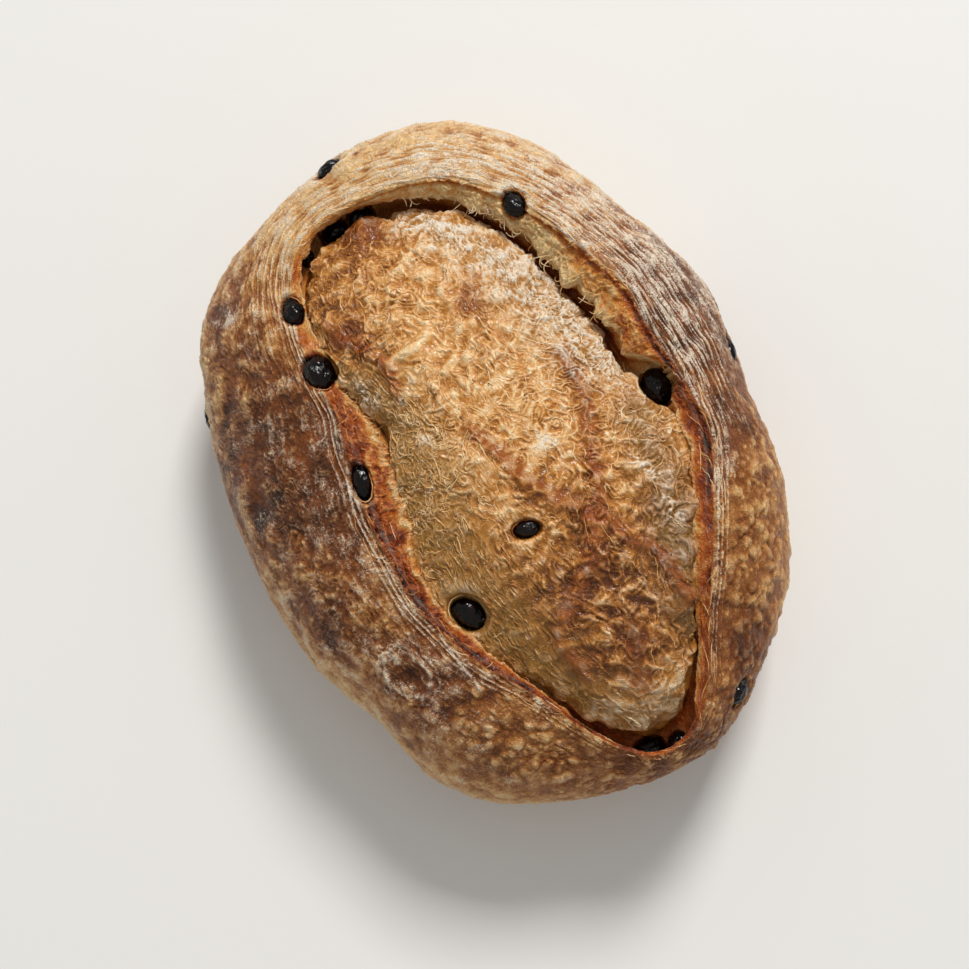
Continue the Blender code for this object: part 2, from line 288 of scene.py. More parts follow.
def surface(ring, bearing):
    """Places on the smooth body at ring numbers and bearings."""
    spoke = bearing / 360 * SPOKES
    ring, spoke = np.broadcast_arrays(ring, spoke)
    low_ring = np.minimum(np.floor(ring).astype(int), RING_CROWN - 1)
    low_spoke = np.floor(spoke).astype(int)
    ring_weights = soft_weights(ring - low_ring)
    spoke_weights = soft_weights(spoke - low_spoke)
    total = np.zeros((*ring.shape, 3))
    for i, j in product(range(4), repeat=2):
        weight = ring_weights[i] * spoke_weights[j]
        total += weight[..., None] * cage[low_ring + i, (low_spoke + j - 1) % SPOKES]
    return total


# Fields of unevenness, which give the swells, wrinkles, blisters and worms of baked dough as heights on the
# meshes and as masks for the finishes
FIELD_SEED = 23
fields = np.random.default_rng(FIELD_SEED)
SHUFFLED = fields.permutation(256)
SLOPES = fields.normal(size=(256, 3))
SLOPES /= np.linalg.norm(SLOPES, axis=1, keepdims=True)
SPOTS = fields.random((256, 3))


def pick(cell):
    """A number from 0 to 255 that is always the same for a cell."""
    key = SHUFFLED[cell[..., 0] & 255]
    key = SHUFFLED[(key + cell[..., 1]) & 255]
    return SHUFFLED[(key + cell[..., 2]) & 255]


def wave(places, pitch, salt):
    """Smooth unevenness between about -1 and 1, with swells of the pitch's size."""
    spot = places / np.array(pitch, float) + 7.31 * salt
    cell = np.floor(spot).astype(int)
    inside = spot - cell
    ease = inside**3 * (inside * (inside * 6 - 15) + 10)
    total = np.zeros(spot.shape[:-1])
    for corner in product((0, 1), repeat=3):
        weight = np.prod(np.where(corner, ease, 1 - ease), axis=-1)
        slope = SLOPES[pick(cell + np.array(corner))]
        total += weight * np.einsum("...k,...k->...", slope, inside - corner)
    return 1.6 * total


def worms(places, pitch, salt, fine=3.0):
    """Raised lines that wander: 1 on a line and 0 away from it. A larger fine makes them thinner."""
    return np.clip(1 - fine * np.abs(wave(places, pitch, salt)), 0, 1)


def ribbons(places, pitch, salt, lines):
    """Strips that run side by side in curls: 1 along the middle of each and 0 between two."""
    return np.abs(1 - np.mod(wave(places, pitch, salt) * lines, 2)) ** 1.6


def stirred(places, pitch, far, salt):
    """The places moved about, so that what is drawn on them curls."""
    moves = [wave(places, pitch, salt + step) for step in range(3)]
    return places + far * np.stack(moves, axis=-1)


def blisters(places, pitch, salt, share):
    """Round bubbles of the pitch's size, 1 in the middle. Share is how many of them there are."""
    spot = places / np.array(pitch, float)
    cell = np.floor(spot).astype(int)
    best = np.full(spot.shape[:-1], 9.0)
    draw = np.zeros(spot.shape[:-1])
    for step in product((-1, 0, 1), repeat=3):
        near = cell + np.array(step)
        key = pick(near + salt)
        away = np.linalg.norm(near + SPOTS[key] - spot, axis=-1)
        closer = away < best
        best = np.where(closer, away, best)
        draw = np.where(closer, key / 255, draw)
    size = 0.32 + 0.26 * draw / share
    return np.where(draw < share, np.clip(1 - (best / size) ** 2, 0, 1), 0.0)


def ramp(value, low, high):
    """0 below low, 1 above high and a soft step between."""
    into = np.clip((value - low) / (high - low), 0, 1)
    return into * into * (3 - 2 * into)


def from_route(places, route):
    """Distance in plan from a route through points."""
    away = np.full(places.shape[:-1], np.inf)
    for start, end in zip(np.array(route[:-1], float), np.array(route[1:], float)):
        share = np.clip((places[..., :2] - start) @ (end - start) / ((end - start) @ (end - start)), 0, 1)
        nearest = start + share[..., None] * (end - start)
        away = np.minimum(away, np.linalg.norm(places[..., :2] - nearest, axis=-1))
    return away


def from_oval(places, x, y, long, short, heading):
    """Distance from the middle of an oval in plan, 1 on its edge."""
    angle = math.radians(heading)
    right = (places[..., 0] - x) * math.cos(angle) + (places[..., 1] - y) * math.sin(angle)
    up = (places[..., 1] - y) * math.cos(angle) - (places[..., 0] - x) * math.sin(angle)
    return np.hypot(right / long, up / short)


def spots(places, marks):
    """1 in the middle of any of the marks in plan, which give X, Y and half width."""
    x, y = places[..., 0], places[..., 1]
    return np.minimum(sum(bell(np.hypot(x - at_x, y - at_y), wide) for at_x, at_y, wide in marks), 1)


def facings(grid, closed):
    """Which way the surface faces at each point of a grid, outwards."""
    rise = np.gradient(grid, axis=0)
    if closed:
        run = np.roll(grid, -1, axis=1) - np.roll(grid, 1, axis=1)
        facing = np.cross(run, rise)
    else:
        facing = np.cross(rise, np.gradient(grid, axis=1))
    return facing / np.maximum(np.linalg.norm(facing, axis=-1, keepdims=True), 1e-9)


def standing_out(height, reach):
    """0.5 where the surface is even, towards 1 on ridges and towards 0 in hollows."""
    even = height
    rows = np.arange(len(height))
    for step in range(1, reach + 1):
        even = (np.roll(even, step, 1) + np.roll(even, -step, 1) + 2 * even) / 4
        before = even[np.clip(rows - step, 0, rows[-1])]
        after = even[np.clip(rows + step, 0, rows[-1])]
        even = (before + after + 2 * even) / 4
    return np.clip(0.5 + 0.9 * (height - even), 0, 1)


# Middles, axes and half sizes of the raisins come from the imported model, because the dough dips round each
RAISINS = sorted(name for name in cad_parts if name.startswith("raisin"))


def lie_of(name):
    """Middle, three axes from the longest to the thinnest, and half sizes of a raisin, in millimetres."""
    points = np.array([vert.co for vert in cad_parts[name].data.vertices], float) / MM
    points = np.unique(np.round(points, 4), axis=0)
    middle = points.mean(0)
    _, axes = np.linalg.eigh(np.cov((points - middle).T))
    axes = axes.T[::-1]
    axes = np.array([axis if axis[np.argmax(np.abs(axis))] > 0 else -axis for axis in axes])
    axes[2] = np.cross(axes[0], axes[1])
    return middle, axes, np.abs((points - middle) @ axes.T).max(0)


lies = {name: lie_of(name) for name in RAISINS}


def way_out(middle):
    """The way out of the loaf at a raisin: up inside the lip, and away from the core on the side."""
    bearing = math.degrees(math.atan2(middle[1], middle[0]))
    if np.hypot(*middle[:2]) < around(LIP_RADIUS, bearing) + 3:
        return np.array((0.0, 0.0, 1.0))
    way = middle - np.array((0.6 * np.clip(middle[0], -60, 60), 0.0, 0.0))
    return way / np.linalg.norm(way)


ways_out = {name: way_out(lie[0]) for name, lie in lies.items()}


def beside(places, name):
    """How near a raisin's outline is, as seen from outside: 1 on it, less within and more further out."""
    middle, axes, halves = lies[name]
    spot = (places - middle) @ axes.T / halves
    way = ways_out[name] @ axes.T / halves
    way /= np.linalg.norm(way)
    along = spot @ way
    away = np.linalg.norm(spot - along[..., None] * way, axis=-1)
    return np.hypot(away, 5 * np.maximum(np.abs(along) - 1.5, 0))


def from_raisins(places):
    """How near the outline of the nearest raisin is."""
    return np.min([beside(places, name) for name in RAISINS], axis=0)


def opened(places):
    """The places moved in where a raisin lies, to below its middle, so that it shows."""
    for name in RAISINS:
        middle, _, halves = lies[name]
        share = 1 - ramp(beside(places, name) + 0.08 * wave(places, 3.5, 36), 0.86, 0.98)
        high = np.maximum((places - middle) @ ways_out[name] + 0.3 * halves[2], 0)
        places = places - (share * high)[..., None] * ways_out[name]
    return places


SIDES = 1080
EVEN_TRIES = 400

# The five pieces that the ring is cut into: the ring of the cage where each begins, and its rows
PARTS = (
    ("crust_underside", 0.35, 16),
    ("crust_side", 5.3, 48),
    ("crust_shoulder", 8.3, 66),
    ("crust_lip", 9.9, 58),
    ("torn_ledge", 12.0, 50),
)

# How dark the crust is baked, how floury it is, and how much it wrinkles and blisters, by bearing
BAKE = {
    0: 0.66, 20: 0.70, 45: 0.48, 65: 0.60, 85: 0.82, 103: 0.80, 122: 0.50, 140: 0.20, 155: 0.12, 175: 0.06,
    195: 0.12, 210: 0.46, 230: 0.74, 252: 1.0, 275: 0.70, 300: 0.48, 320: 0.60, 340: 0.50,
}
FLOUR = {
    0: 0.16, 30: 0.16, 60: 0.24, 85: 0.42, 103: 0.86, 122: 1.0, 140: 0.80, 150: 0.66, 175: 0.46, 195: 0.5,
    215: 0.34, 240: 0.36, 290: 0.42, 320: 0.38, 345: 0.24,
}
EDGE_FLOUR = {0: 0.2, 60: 0.6, 85: 0.8, 120: 0.9, 150: 0.8, 165: 0.2, 190: 0.1, 240: 0.4, 300: 0.4, 340: 0.3}
WRINKLES = {0: 0.1, 55: 0.3, 85: 1.0, 120: 1.0, 150: 0.85, 180: 0.85, 205: 0.9, 225: 0.4, 270: 0.3, 320: 0.4}
LIP_LINES = {0: 0.3, 30: 0.9, 60: 0.9, 90: 0.3, 150: 0.1, 200: 0.5, 215: 1.0, 300: 1.0, 330: 0.7}
LIP_LINE_PLACES = ((1.6, 0.7), (3.3, 1.0), (5.6, 0.6))
LIP_EDGE = {0: 0.4, 60: 0.5, 95: 1.0, 165: 1.0, 185: 0.5, 210: 0.5, 240: 0.8, 320: 0.6}
BLISTERED = {0: 0.7, 30: 1.0, 50: 0.9, 70: 0.3, 95: 0.05, 180: 0.0, 270: 0.15, 300: 0.3, 330: 0.7}

# Marks of the crust in plan: routes are X and Y, spots are X, Y and half width, and ovals are X, Y, half
# length, half width and heading
PALE_LINE = ((-21, -42), (-10, -42.5), (5, -43.5), (22, -44), (37, -44.5), (55, -43), (71, -40))
BURST_BLISTER = (56, -59, 8.5, 6.0, 30)
DARK_PATCHES = (
    (-8, 82, 8), (-19, 84, 6), (35, 71, 8), (25, 73, 6), (12, 86, 7), (-35, -75, 9), (-13, -67, 10),
    (28, -73, 9), (-40, -55, 8), (8, -58, 8), (98, 42, 7), (62, -50, 8),
)
STREAK = (-85, -62, 6.5, 3.2, 70)
FLOUR_DAB = (-80, -60, 4, 2.5, 60)
FLOUR_PATCH = (-87, 25, 9, 6, 65)
FLOUR_DRIFT = ((-90, 22), (-84, 34), (-66, 46), (-54, 54), (-40, 62), (-21, 68), (2, 70), (22, 66), (44, 59))
BURST_HOLLOW = (-113.0, -6.0, 8.0, 5.0, 80)
BURST_FLAP = (-106.5, -1.0, 4.5, 6.5, 0)
PINHOLE = (-110.5, 5.0, 1.3)


def even_rings(first, last, rows):
    """Ring numbers that cut the body from first to last into rows of about the same height."""
    tries = np.linspace(first, last, EVEN_TRIES)
    path = surface(tries[:, None], np.arange(0, 360, 7.5)[None, :])
    steps = np.linalg.norm(np.diff(path, axis=0), axis=-1).mean(1)
    along = np.concatenate(([0.0], np.cumsum(steps)))
    return np.interp(np.linspace(0, along[-1], rows + 1), along, tries)


part_ends = (*(first for _, first, _ in PARTS[1:]), RING_FLOOR)
ring_cuts = [even_rings(first, last, rows) for (_, first, rows), last in zip(PARTS, part_ends)]
part_rows = [0, *(int(end) for end in np.cumsum([rows for _, _, rows in PARTS]))]
ring_of = np.concatenate([ring_cuts[0], *(cut[1:] for cut in ring_cuts[1:])])[:, None]
bearing_of = (360 * np.arange(SIDES) / SIDES)[None, :]
body = surface(ring_of, bearing_of)
body_facing = facings(body, True)
lip_line = surface(np.full((1, SIDES), float(RING_LIP)), bearing_of)[0]
path_steps = np.linalg.norm(np.diff(body, axis=0), axis=-1)
along_section = np.concatenate((np.zeros((1, SIDES)), np.cumsum(path_steps, axis=0)))
lip_row = int(np.argmin(np.abs(ring_of[:, 0] - RING_LIP)))
below_lip = along_section[lip_row] - along_section
near_raisin = from_raisins(body)


def share_at(profile):
    """A profile's share, from 0 to 1, at each bearing of the ring."""
    return np.clip(around(profile, bearing_of), 0, 1)


def lip_places(along, down):
    """Places counted along the lip and down from it, so that what is drawn on them runs with the lip."""
    flat = np.broadcast_to(lip_line[None, :, :2] / along, (*below_lip.shape, 2))
    return np.concatenate((flat, (below_lip / down)[..., None]), axis=-1)


def crust_relief():
    """Heights in millimetres and masks, from 0 to 1, of the crust over the whole grid of the ring."""
    wrinkled = share_at(WRINKLES) * bell(np.maximum(below_lip - 8, 0), 20)
    blistered = share_at(BLISTERED) * ramp(below_lip, 3, 9)
    folds = worms(lip_places(20.0, 3.0), 1.0, 31, 3.0)
    silk = worms(lip_places(13.0, 1.3), 1.0, 32, 3.0)
    big_worms = ribbons(stirred(body, 5.0, 2.4, 11), 7.5, 41, 6.0)
    big_worms *= 0.4 + 0.6 * ramp(wave(body, 5.0, 48), -0.4, 0.5)
    small_worms = worms(stirred(body, 3.0, 1.2, 13), 1.9, 42, 2.4)
    bubbles = blisters(stirred(body, 6.0, 1.6, 19), (5.6, 5.6, 4.6), 3, 0.95)
    small_bubbles = blisters(stirred(body, 5.0, 1.2, 26), 3.2, 5, 0.95)
    bubbles = np.maximum(bubbles, 0.6 * small_bubbles) ** 0.7 * blistered
    pebbles = blisters(stirred(body, 5.0, 1.4, 20), (2.9, 2.9, 2.4), 9, 0.55) * ramp(below_lip, 6, 16)
    line = bell(from_route(body, PALE_LINE) - 0.3 * wave(body, 9.0, 17), 0.55) * ramp(below_lip, -1, 2)
    lined = share_at(LIP_LINES)
    wander = 0.5 * wave(lip_places(16.0, 9.0), 1.0, 34)
    for off, share in LIP_LINE_PLACES:
        line = line + share * lined * bell(below_lip - off - wander * off / 3, 0.38)
    oval = from_oval(body, *BURST_BLISTER) + 0.15 * wave(body, 4.0, 35)
    rim = bell(oval - 1.0, 0.12) + 0.7 * bell(oval - 1.32, 0.08) + 0.5 * bell(oval - 0.62, 0.1)
    streak = from_oval(body, *STREAK)
    height = 0.8 * wave(body, 19.0, 21) + 0.7 * wave(body, 8.0, 22) + 0.3 * wave(body, 4.0, 23)
    height += wrinkled * (0.55 * folds + 0.45 * silk)
    height += (0.55 * big_worms + 0.35 * small_worms) * (1 - 0.85 * wrinkled) * (1 - 0.6 * blistered)
    height += (1.2 * bubbles + 0.38 * pebbles) * (1 - 0.5 * ramp(below_lip, 28, 45))
    height += 0.45 * line + 0.5 * rim * (0.7 + 0.6 * wave(body, 2.5, 37)) - 1.3 * bell(oval, 0.75)
    edge_height = 0.1 + 0.5 * wave(lip_places(9.0, 9.0), 1.0, 38)
    height += edge_height * bell(below_lip - 0.1, 0.8) * share_at(LIP_EDGE)
    hollow = bell(from_oval(body, *BURST_HOLLOW), 0.8) * ramp(body[..., 2], 15, 30)
    pinhole = spots(body, (PINHOLE,))
    height += 3.4 * bell(from_oval(body, *BURST_FLAP), 0.8) - 4.6 * hollow - 1.2 * pinhole
    bake = share_at(BAKE)
    patchy = 0.20 * wave(body, 12.0, 51) + 0.18 * wave(body, 5.5, 52) + 0.10 * wave(body, 2.5, 53)
    bake = bake + patchy * (0.45 + 0.8 * bake) + 0.30 * spots(body, DARK_PATCHES)
    bake -= 0.42 * ramp(below_lip, 32, 66)
    # Darker crust along the streak and the burst blister; in the burst hollow and the pinhole it is painted
    # shade
    bake += 0.65 * bell(streak, 1.0) + 0.35 * bell(oval, 0.8) + 0.9 * np.maximum(hollow, pinhole)
    dusted = share_at(FLOUR)
    flour = dusted * (0.75 + 0.7 * wave(body, 10.0, 61) + 0.5 * wave(body, 4.0, 62)) * (1 - 0.6 * wrinkled)
    streaks = ramp(np.maximum(folds, silk), 0.35, 0.95)
    flour += 1.1 * dusted * wrinkled * streaks
    edge = share_at(EDGE_FLOUR) * bell(below_lip - 0.9, 1.0)
    flour += 0.7 * edge * (0.3 + 0.9 * silk) + 0.55 * line + 0.35 * np.minimum(rim, 1)
    flour += 1.0 * bell(from_oval(body, *FLOUR_DAB), 1.0)
    flour += 2.0 * bell(from_oval(body, *FLOUR_PATCH), 0.9) * (0.5 + streaks)
    drift = bell(from_route(body, FLOUR_DRIFT) + 3.0 * wave(body, 12.0, 65), 6.5)
    drift *= ramp(body[..., 2], 40, 60)
    drift *= 1 - 0.6 * bell(turn_between(bearing_of, 70), 35)
    flour += drift * (0.12 + 1.1 * streaks)
    ruddy = 0.5 + 0.6 * wave(body, 9.0, 71) + 0.4 * wave(body, 4.0, 72)
    return height, {"bake": bake, "flour": flour, "ruddy": ruddy, "even": 1 - 0.55 * blistered}


# How layered, frayed, pale, shaded and glossy the torn crumb is, by bearing
LEDGE_LAYERS = {
    0: 0.4, 60: 0.5, 90: 0.9, 130: 1.0, 165: 0.7, 185: 0.1, 205: 0.4, 240: 1.0, 300: 1.0, 340: 0.5,
}
FRAY = {
    0: 0.3, 30: 0.3, 75: 0.7, 95: 1.2, 150: 1.1, 168: 0.5, 185: 0.2, 205: 0.8, 225: 1.4, 290: 1.1, 330: 0.5,
}
PALE_LAYER = {0: 0.0, 90: 0.1, 120: 0.5, 140: 1.0, 170: 1.0, 195: 0.5, 215: 0.1, 300: 0.0}
SHADED_LIP = {0: 0.0, 70: 0.1, 90: 1.0, 160: 1.0, 178: 0.4, 200: 0.1, 300: 0.1}
GLAZE = {0: 0.5, 32: 0.2, 55: 1.0, 72: 0.8, 95: 0.1, 150: 0.0, 210: 0.1, 235: 0.35, 290: 0.9, 325: 1.0}

# Two stretches, by bearing and half width: a smooth wall at the far end and painted light on a side wall
SMOOTH_WALL = (184, 17)
PAINTED_LIGHT_SIDE_WALL = (88, 7)

# Raisins in the gap with a hollow of their own in front of them
HOLLOWS = ("raisin_right_hollow", "raisin_end_wide", "raisin_end_narrow")
HOLLOW_ROOM = 1.0


def torn_relief():
    """Heights and inward pull in millimetres, and masks, of the torn part of the ring's grid."""
    layered = share_at(LEDGE_LAYERS)
    fray = np.maximum(around(FRAY, bearing_of), 0)
    lip_flat = np.broadcast_to(lip_line[None, :, :], body.shape)
    teeth = 2.6 * wave(lip_flat, 9.0, 81) + 1.8 * wave(lip_flat, 4.0, 82) + 0.8 * wave(lip_flat, 1.8, 83)
    teeth += 0.35 * wave(lip_flat, 0.9, 84)
    at_edge = bell(ring_of - RING_LEDGE - 0.1, 0.8)
    pull = fray * teeth * at_edge
    strands = worms(stirred(body, 4.0, 1.8, 14), 2.8, 43, 2.4)
    small_strands = worms(stirred(body, 2.4, 1.0, 15), 1.4, 47, 2.4)
    runs = worms(lip_places(9.0, 2.4), 1.0, 33, 2.2)
    height = layered * (0.9 * wave(body, 6.5, 24) + 0.55 * strands + 0.25 * small_strands + 0.3 * runs)
    height += 0.3 * wave(body, 7.0, 25) + 0.15 * small_strands
    height *= 1 - 0.7 * ramp(ring_of, 15, 16)
    shaded = share_at(SHADED_LIP)
    height -= 0.7 * shaded * bell(ring_of - 12.2, 0.3)
    deep = ramp(around(GAP_DEPTH, bearing_of), 2.0, 8.0)
    height += 0.3 * bell(ring_of - RING_LEDGE, 0.5) - 0.4 * deep * bell(ring_of - 15.2, 0.4)
    slope = np.clip((ring_of - 12) / 2, 0, 1)
    bake = 0.57 - 0.14 * slope + 0.16 * wave(body, 6.0, 54) + 0.12 * wave(body, 2.6, 55)
    # Painted shade: a dark line just under the lip, where the lip is shaded
    bake += 0.34 * shaded * bell(ring_of - 12.0, 0.22) - 0.2 * bell(ring_of - RING_LEDGE, 0.5)
    glaze = share_at(GLAZE)
    bake += glaze * (0.34 - 0.26 * slope) + 0.10 * (0.4 - runs) * (0.4 + glaze)
    # Painted shade: darker down the gap's wall where the gap is deep, a little paler where it is shallow
    bake += 0.26 * deep * ramp(ring_of, 14.6, 16.0) - 0.1 * (1 - deep) * ramp(ring_of, 15.5, 16.5)
    pale = share_at(PALE_LAYER)
    bake -= 0.38 * pale * (1 - ramp(ring_of, 14.6, 16.0))
    wall, pale_mark = (bell(turn_between(bearing_of, at), wide) for at, wide in (SMOOTH_WALL, PAINTED_LIGHT_SIDE_WALL))
    wall = wall * ramp(ring_of, 12.6, 13.6)
    bake = bake * (1 - wall) + 0.42 * wall
    # Painted light: the wall by the right raisin's hollow is paler, as where light falls on it
    bake -= 0.38 * pale_mark * ramp(ring_of, 13.0, 15.0)
    flour = 0.2 * bell(ring_of - RING_LEDGE, 0.4) + 0.35 * glaze * bell(ring_of - 12.1, 0.25)
    flour = flour + 0.2 * wave(body, 3.0, 63)
    ruddy = 0.55 + 0.4 * wave(body, 6.0, 73) - 0.5 * wall - 0.4 * pale
    return height, pull, {"bake": bake, "flour": flour, "ruddy": ruddy, "even": 0.75 + 0 * height}


def round_raisins(nearness):
    """How the dough lies round a raisin: dipping towards it, with a low rim of burst skin."""
    return 0.25 * bell(nearness - 1.25, 0.12) - 0.9 * ramp(-nearness, -1.3, -1.0)


crust_height, crust_masks = crust_relief()
torn_height, pull, torn_masks = torn_relief()
torn_from = 10.75 + 0.55 * share_at(SHADED_LIP)
torn_share = ramp(ring_of + 0.25 * wave(lip_places(6.0, 6.0), 1.0, 39) - torn_from, 0.0, 0.5)
flat_under = ramp(body[..., 2], 0.2, 7.0)
by_raisin = near_raisin + 0.10 * wave(body, 3.5, 36)
height = (crust_height * (1 - torn_share) + torn_height * torn_share + round_raisins(by_raisin)) * flat_under
body_places = body + body_facing * height[..., None]
inwards = -body_facing * 0
inwards[..., 0] = -np.cos(np.radians(bearing_of))
inwards[..., 1] = -np.sin(np.radians(bearing_of))
body_places = opened(body_places + inwards * pull[..., None])
lip_reach = np.linalg.norm(lip_line[None, :, :2], axis=-1) - 0.8


def hollowed(places, bound, side):
    """The places moved in plan clear of raisins in the gap: outwards if side is 1, inwards if it is -1."""
    for name in HOLLOWS:
        middle, axes, halves = lies[name]
        out = np.array((*(middle[:2] / np.linalg.norm(middle[:2])), 0.0))
        along = np.array((-out[1], out[0], 0.0))
        deep, wide = (np.linalg.norm(halves * (axes @ way)) for way in (out, along))
        from_middle = places - middle
        sideways = (from_middle @ along) / (wide + 1.5) + 0.15 * wave(places, 3.5, 66)
        edge = (deep + HOLLOW_ROOM) * (1 - sideways**2)
        short = np.maximum(edge - side * (from_middle @ out), 0)
        if side > 0:
            short = np.minimum(short, np.maximum(lip_reach - np.hypot(places[..., 0], places[..., 1]), 0))
        near = (np.abs(sideways) < 2.5) * (from_middle @ out > -25)
        share = bound * ramp(from_middle[..., 2], -3, 0) * near
        places = places + side * (short * share)[..., None] * out
    return places


body_places = hollowed(body_places, ramp(ring_of, 11.8, 12.6) * (1 - ramp(ring_of, 15.6, 16.2)), 1)
body_masks = {
    name: np.clip(values * (1 - torn_share) + torn_masks[name] * torn_share, 0, 1)
    for name, values in crust_masks.items()
}
# Painted shade: darker in a thin ring where the dough meets a raisin
body_masks["bake"] = np.clip(body_masks["bake"] + 0.2 * bell(by_raisin - 1.0, 0.1), 0, 1)
body_masks["crest"] = 0.5 + (standing_out(height, 5) - 0.5) * body_masks.pop("even")
body_masks["torn"] = torn_share + 0 * height

box_low, box_high = (np.array(corner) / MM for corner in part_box("loaf"))


def kept_in_box(places):
    """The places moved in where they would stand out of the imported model's box."""
    return np.clip(places, box_low, box_high)


body_places = kept_in_box(body_places)
body_facing = facings(body_places, True)


def skin(name, places, facing, masks, faces):
    """A mesh piece from a grid of places, with its shading normals and its masks."""
    mesh = bpy.data.meshes.new(name)
    mesh.from_pydata(places.reshape(-1, 3) * MM, [], faces)
    mesh.shade_smooth()
    if facing is not None:
        mesh.normals_split_custom_set_from_vertices(facing.reshape(-1, 3))
    for mask, values in masks.items():
        attribute = mesh.attributes.new(mask, "FLOAT", "POINT")
        attribute.data.foreach_set("value", values.ravel().astype(np.float32))
    piece = bpy.data.objects.new(name, mesh)
    bpy.context.scene.collection.objects.link(piece)
    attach(piece, "root")
    return piece


def band_faces(rows, columns):
    """Four-sided faces of a grid that closes on itself along its columns."""
    corner = np.arange(columns)
    after = (corner + 1) % columns
    start = np.arange(rows)[:, None] * columns
    corners = (start + corner, start + after, start + after + columns, start + corner + columns)
    return np.stack(corners, -1).reshape(-1, 4)


def band(name, first, last):
    """The rows of the ring's grid from first to last as a piece."""
    rows = slice(first, last + 1)
    masks = {mask: values[rows] for mask, values in body_masks.items()}
    return skin(name, body_places[rows], body_facing[rows], masks, band_faces(last - first, SIDES).tolist())


class Wire:
    """A shader socket that can stand in an expression. Sums on it add Math nodes."""

    def __init__(self, finish, socket):
        self.finish = finish
        self.socket = socket

    def maths(self, operation, *values):
        return self.finish.add("ShaderNodeMath", {"operation": operation}, dict(enumerate(values)))

    def __add__(self, other):
        return self.maths("ADD", self, other)

    def __sub__(self, other):
        return self.maths("SUBTRACT", self, other)

    def __rsub__(self, other):
        return self.maths("SUBTRACT", other, self)

    def __mul__(self, other):
        return self.maths("MULTIPLY", self, other)

    __radd__ = __add__
    __rmul__ = __mul__

    def __abs__(self):
        return self.maths("ABSOLUTE", self)

    def held(self):
        """The value kept between 0 and 1."""
        return self.finish.add("ShaderNodeClamp", {}, {"Value": self})

    def above(self, low, high):
        """0 below low, 1 above high."""
        return self.finish.add("ShaderNodeMapRange", {}, {"Value": self, "From Min": low, "From Max": high})


class Finish:
    """One material and the nodes of its surface."""

    def __init__(self, name):
        self.material = bpy.data.materials.new(name)
        self.material.use_nodes = True
        self.tree = self.material.node_tree
        self.shader = self.tree.nodes["Principled BSDF"]

    def plug(self, socket, value):
        if isinstance(value, Wire):
            self.tree.links.new(value.socket, socket)
        else:
            socket.default_value = value

    def add(self, kind, settings, inputs, output=0):
        """A node of a type, with its settings, the values or links of its sockets, and the output to use."""
        node = self.tree.nodes.new(kind)
        for key, value in settings.items():
            if key == "stops":
                self.set_stops(node.color_ramp.elements, value)
            else:
                setattr(node, key, value)
        for key, value in inputs.items():
            self.plug(node.inputs[key], value)
        return Wire(self, node.outputs[output])

    @staticmethod
    def set_stops(elements, stops):
        """The colours of a ramp, whose first stop is at 0 and last at 1."""
        for place, colour in stops[1:-1]:
            elements.new(place).color = colour
        elements[0].color = stops[0][1]
        elements[-1].color = stops[-1][1]

    def mask(self, name):
        return self.add("ShaderNodeAttribute", {"attribute_name": name}, {}, "Fac")

    def blend(self, share, first, second):
        """The first colour where share is 0 and the second where it is 1."""
        return self.add("ShaderNodeMix", {"data_type": "RGBA"}, {0: share, 6: first, 7: second}, 2)

    def baked(self, tones, depth):
        """The colour of dough that is baked to a depth, 0 palest and 1 darkest."""
        return self.add("ShaderNodeValToRGB", {"stops": tones}, {"Fac": depth.held()})

    def grain(self, size, detail=2.0, curl=0.0):
        """Uneven grain from 0 to 1, of a size in millimetres. Curl winds it about."""
        place = self.add("ShaderNodeTexCoord", {}, {}, "Object")
        inputs = {"Vector": place, "Scale": 1 / (size * MM), "Detail": detail, "Distortion": curl}
        return self.add("ShaderNodeTexNoise", {}, inputs)

    def curls(self, size, fine):
        """Thin curly lines from 0 to 1. A larger fine makes them thinner."""
        return (1 - abs(self.grain(size, 1.0, 1.3) - 0.5) * fine).held()

    def surface(self, **sockets):
        for key, value in sockets.items():
            self.plug(self.shader.inputs[key.replace("_", " ").title().replace("Ior", "IOR")], value)

    def bump(self, height, far, strength=1.0):
        """A Bump node for relief that is finer than the mesh. Far is its full height in millimetres."""
        return self.add("ShaderNodeBump", {}, {"Strength": strength, "Distance": far * MM, "Height": height})


def tone(red, green, blue):
    """A colour given on a 0 to 255 scale, as the shader takes it."""
    parts = [part / 255 for part in (red, green, blue)]
    linear = [part / 12.92 if part <= 0.04045 else ((part + 0.055) / 1.055) ** 2.4 for part in parts]
    return (*linear, 1.0)


def tones(*stops):
    """Colours from the palest to the darkest baked: how far each is baked, and its red, green and blue."""
    return [(place, tone(*parts)) for place, *parts in stops]


CRUST_TONES = tones(
    (0.0, 232, 190, 132), (0.25, 208, 150, 86), (0.48, 164, 104, 48), (0.72, 116, 66, 25), (1.0, 56, 27, 8),
)
RUST = tone(168, 90, 32)
# Straw, put on the crust's ridges and curl lines as painted highlight
PAINTED_HIGHLIGHT_STRAW = tone(238, 204, 150)
BASKET_FLOUR = tone(234, 220, 200)
TORN_TONES = tones(
    (0.0, 240, 206, 146), (0.3, 218, 144, 64), (0.55, 180, 90, 30), (0.8, 118, 44, 12), (1.0, 30, 13, 5),
)
# A paler tone, put on the torn crumb's ridges as painted highlight
TORN_PAINTED_HIGHLIGHT = tone(244, 204, 142)


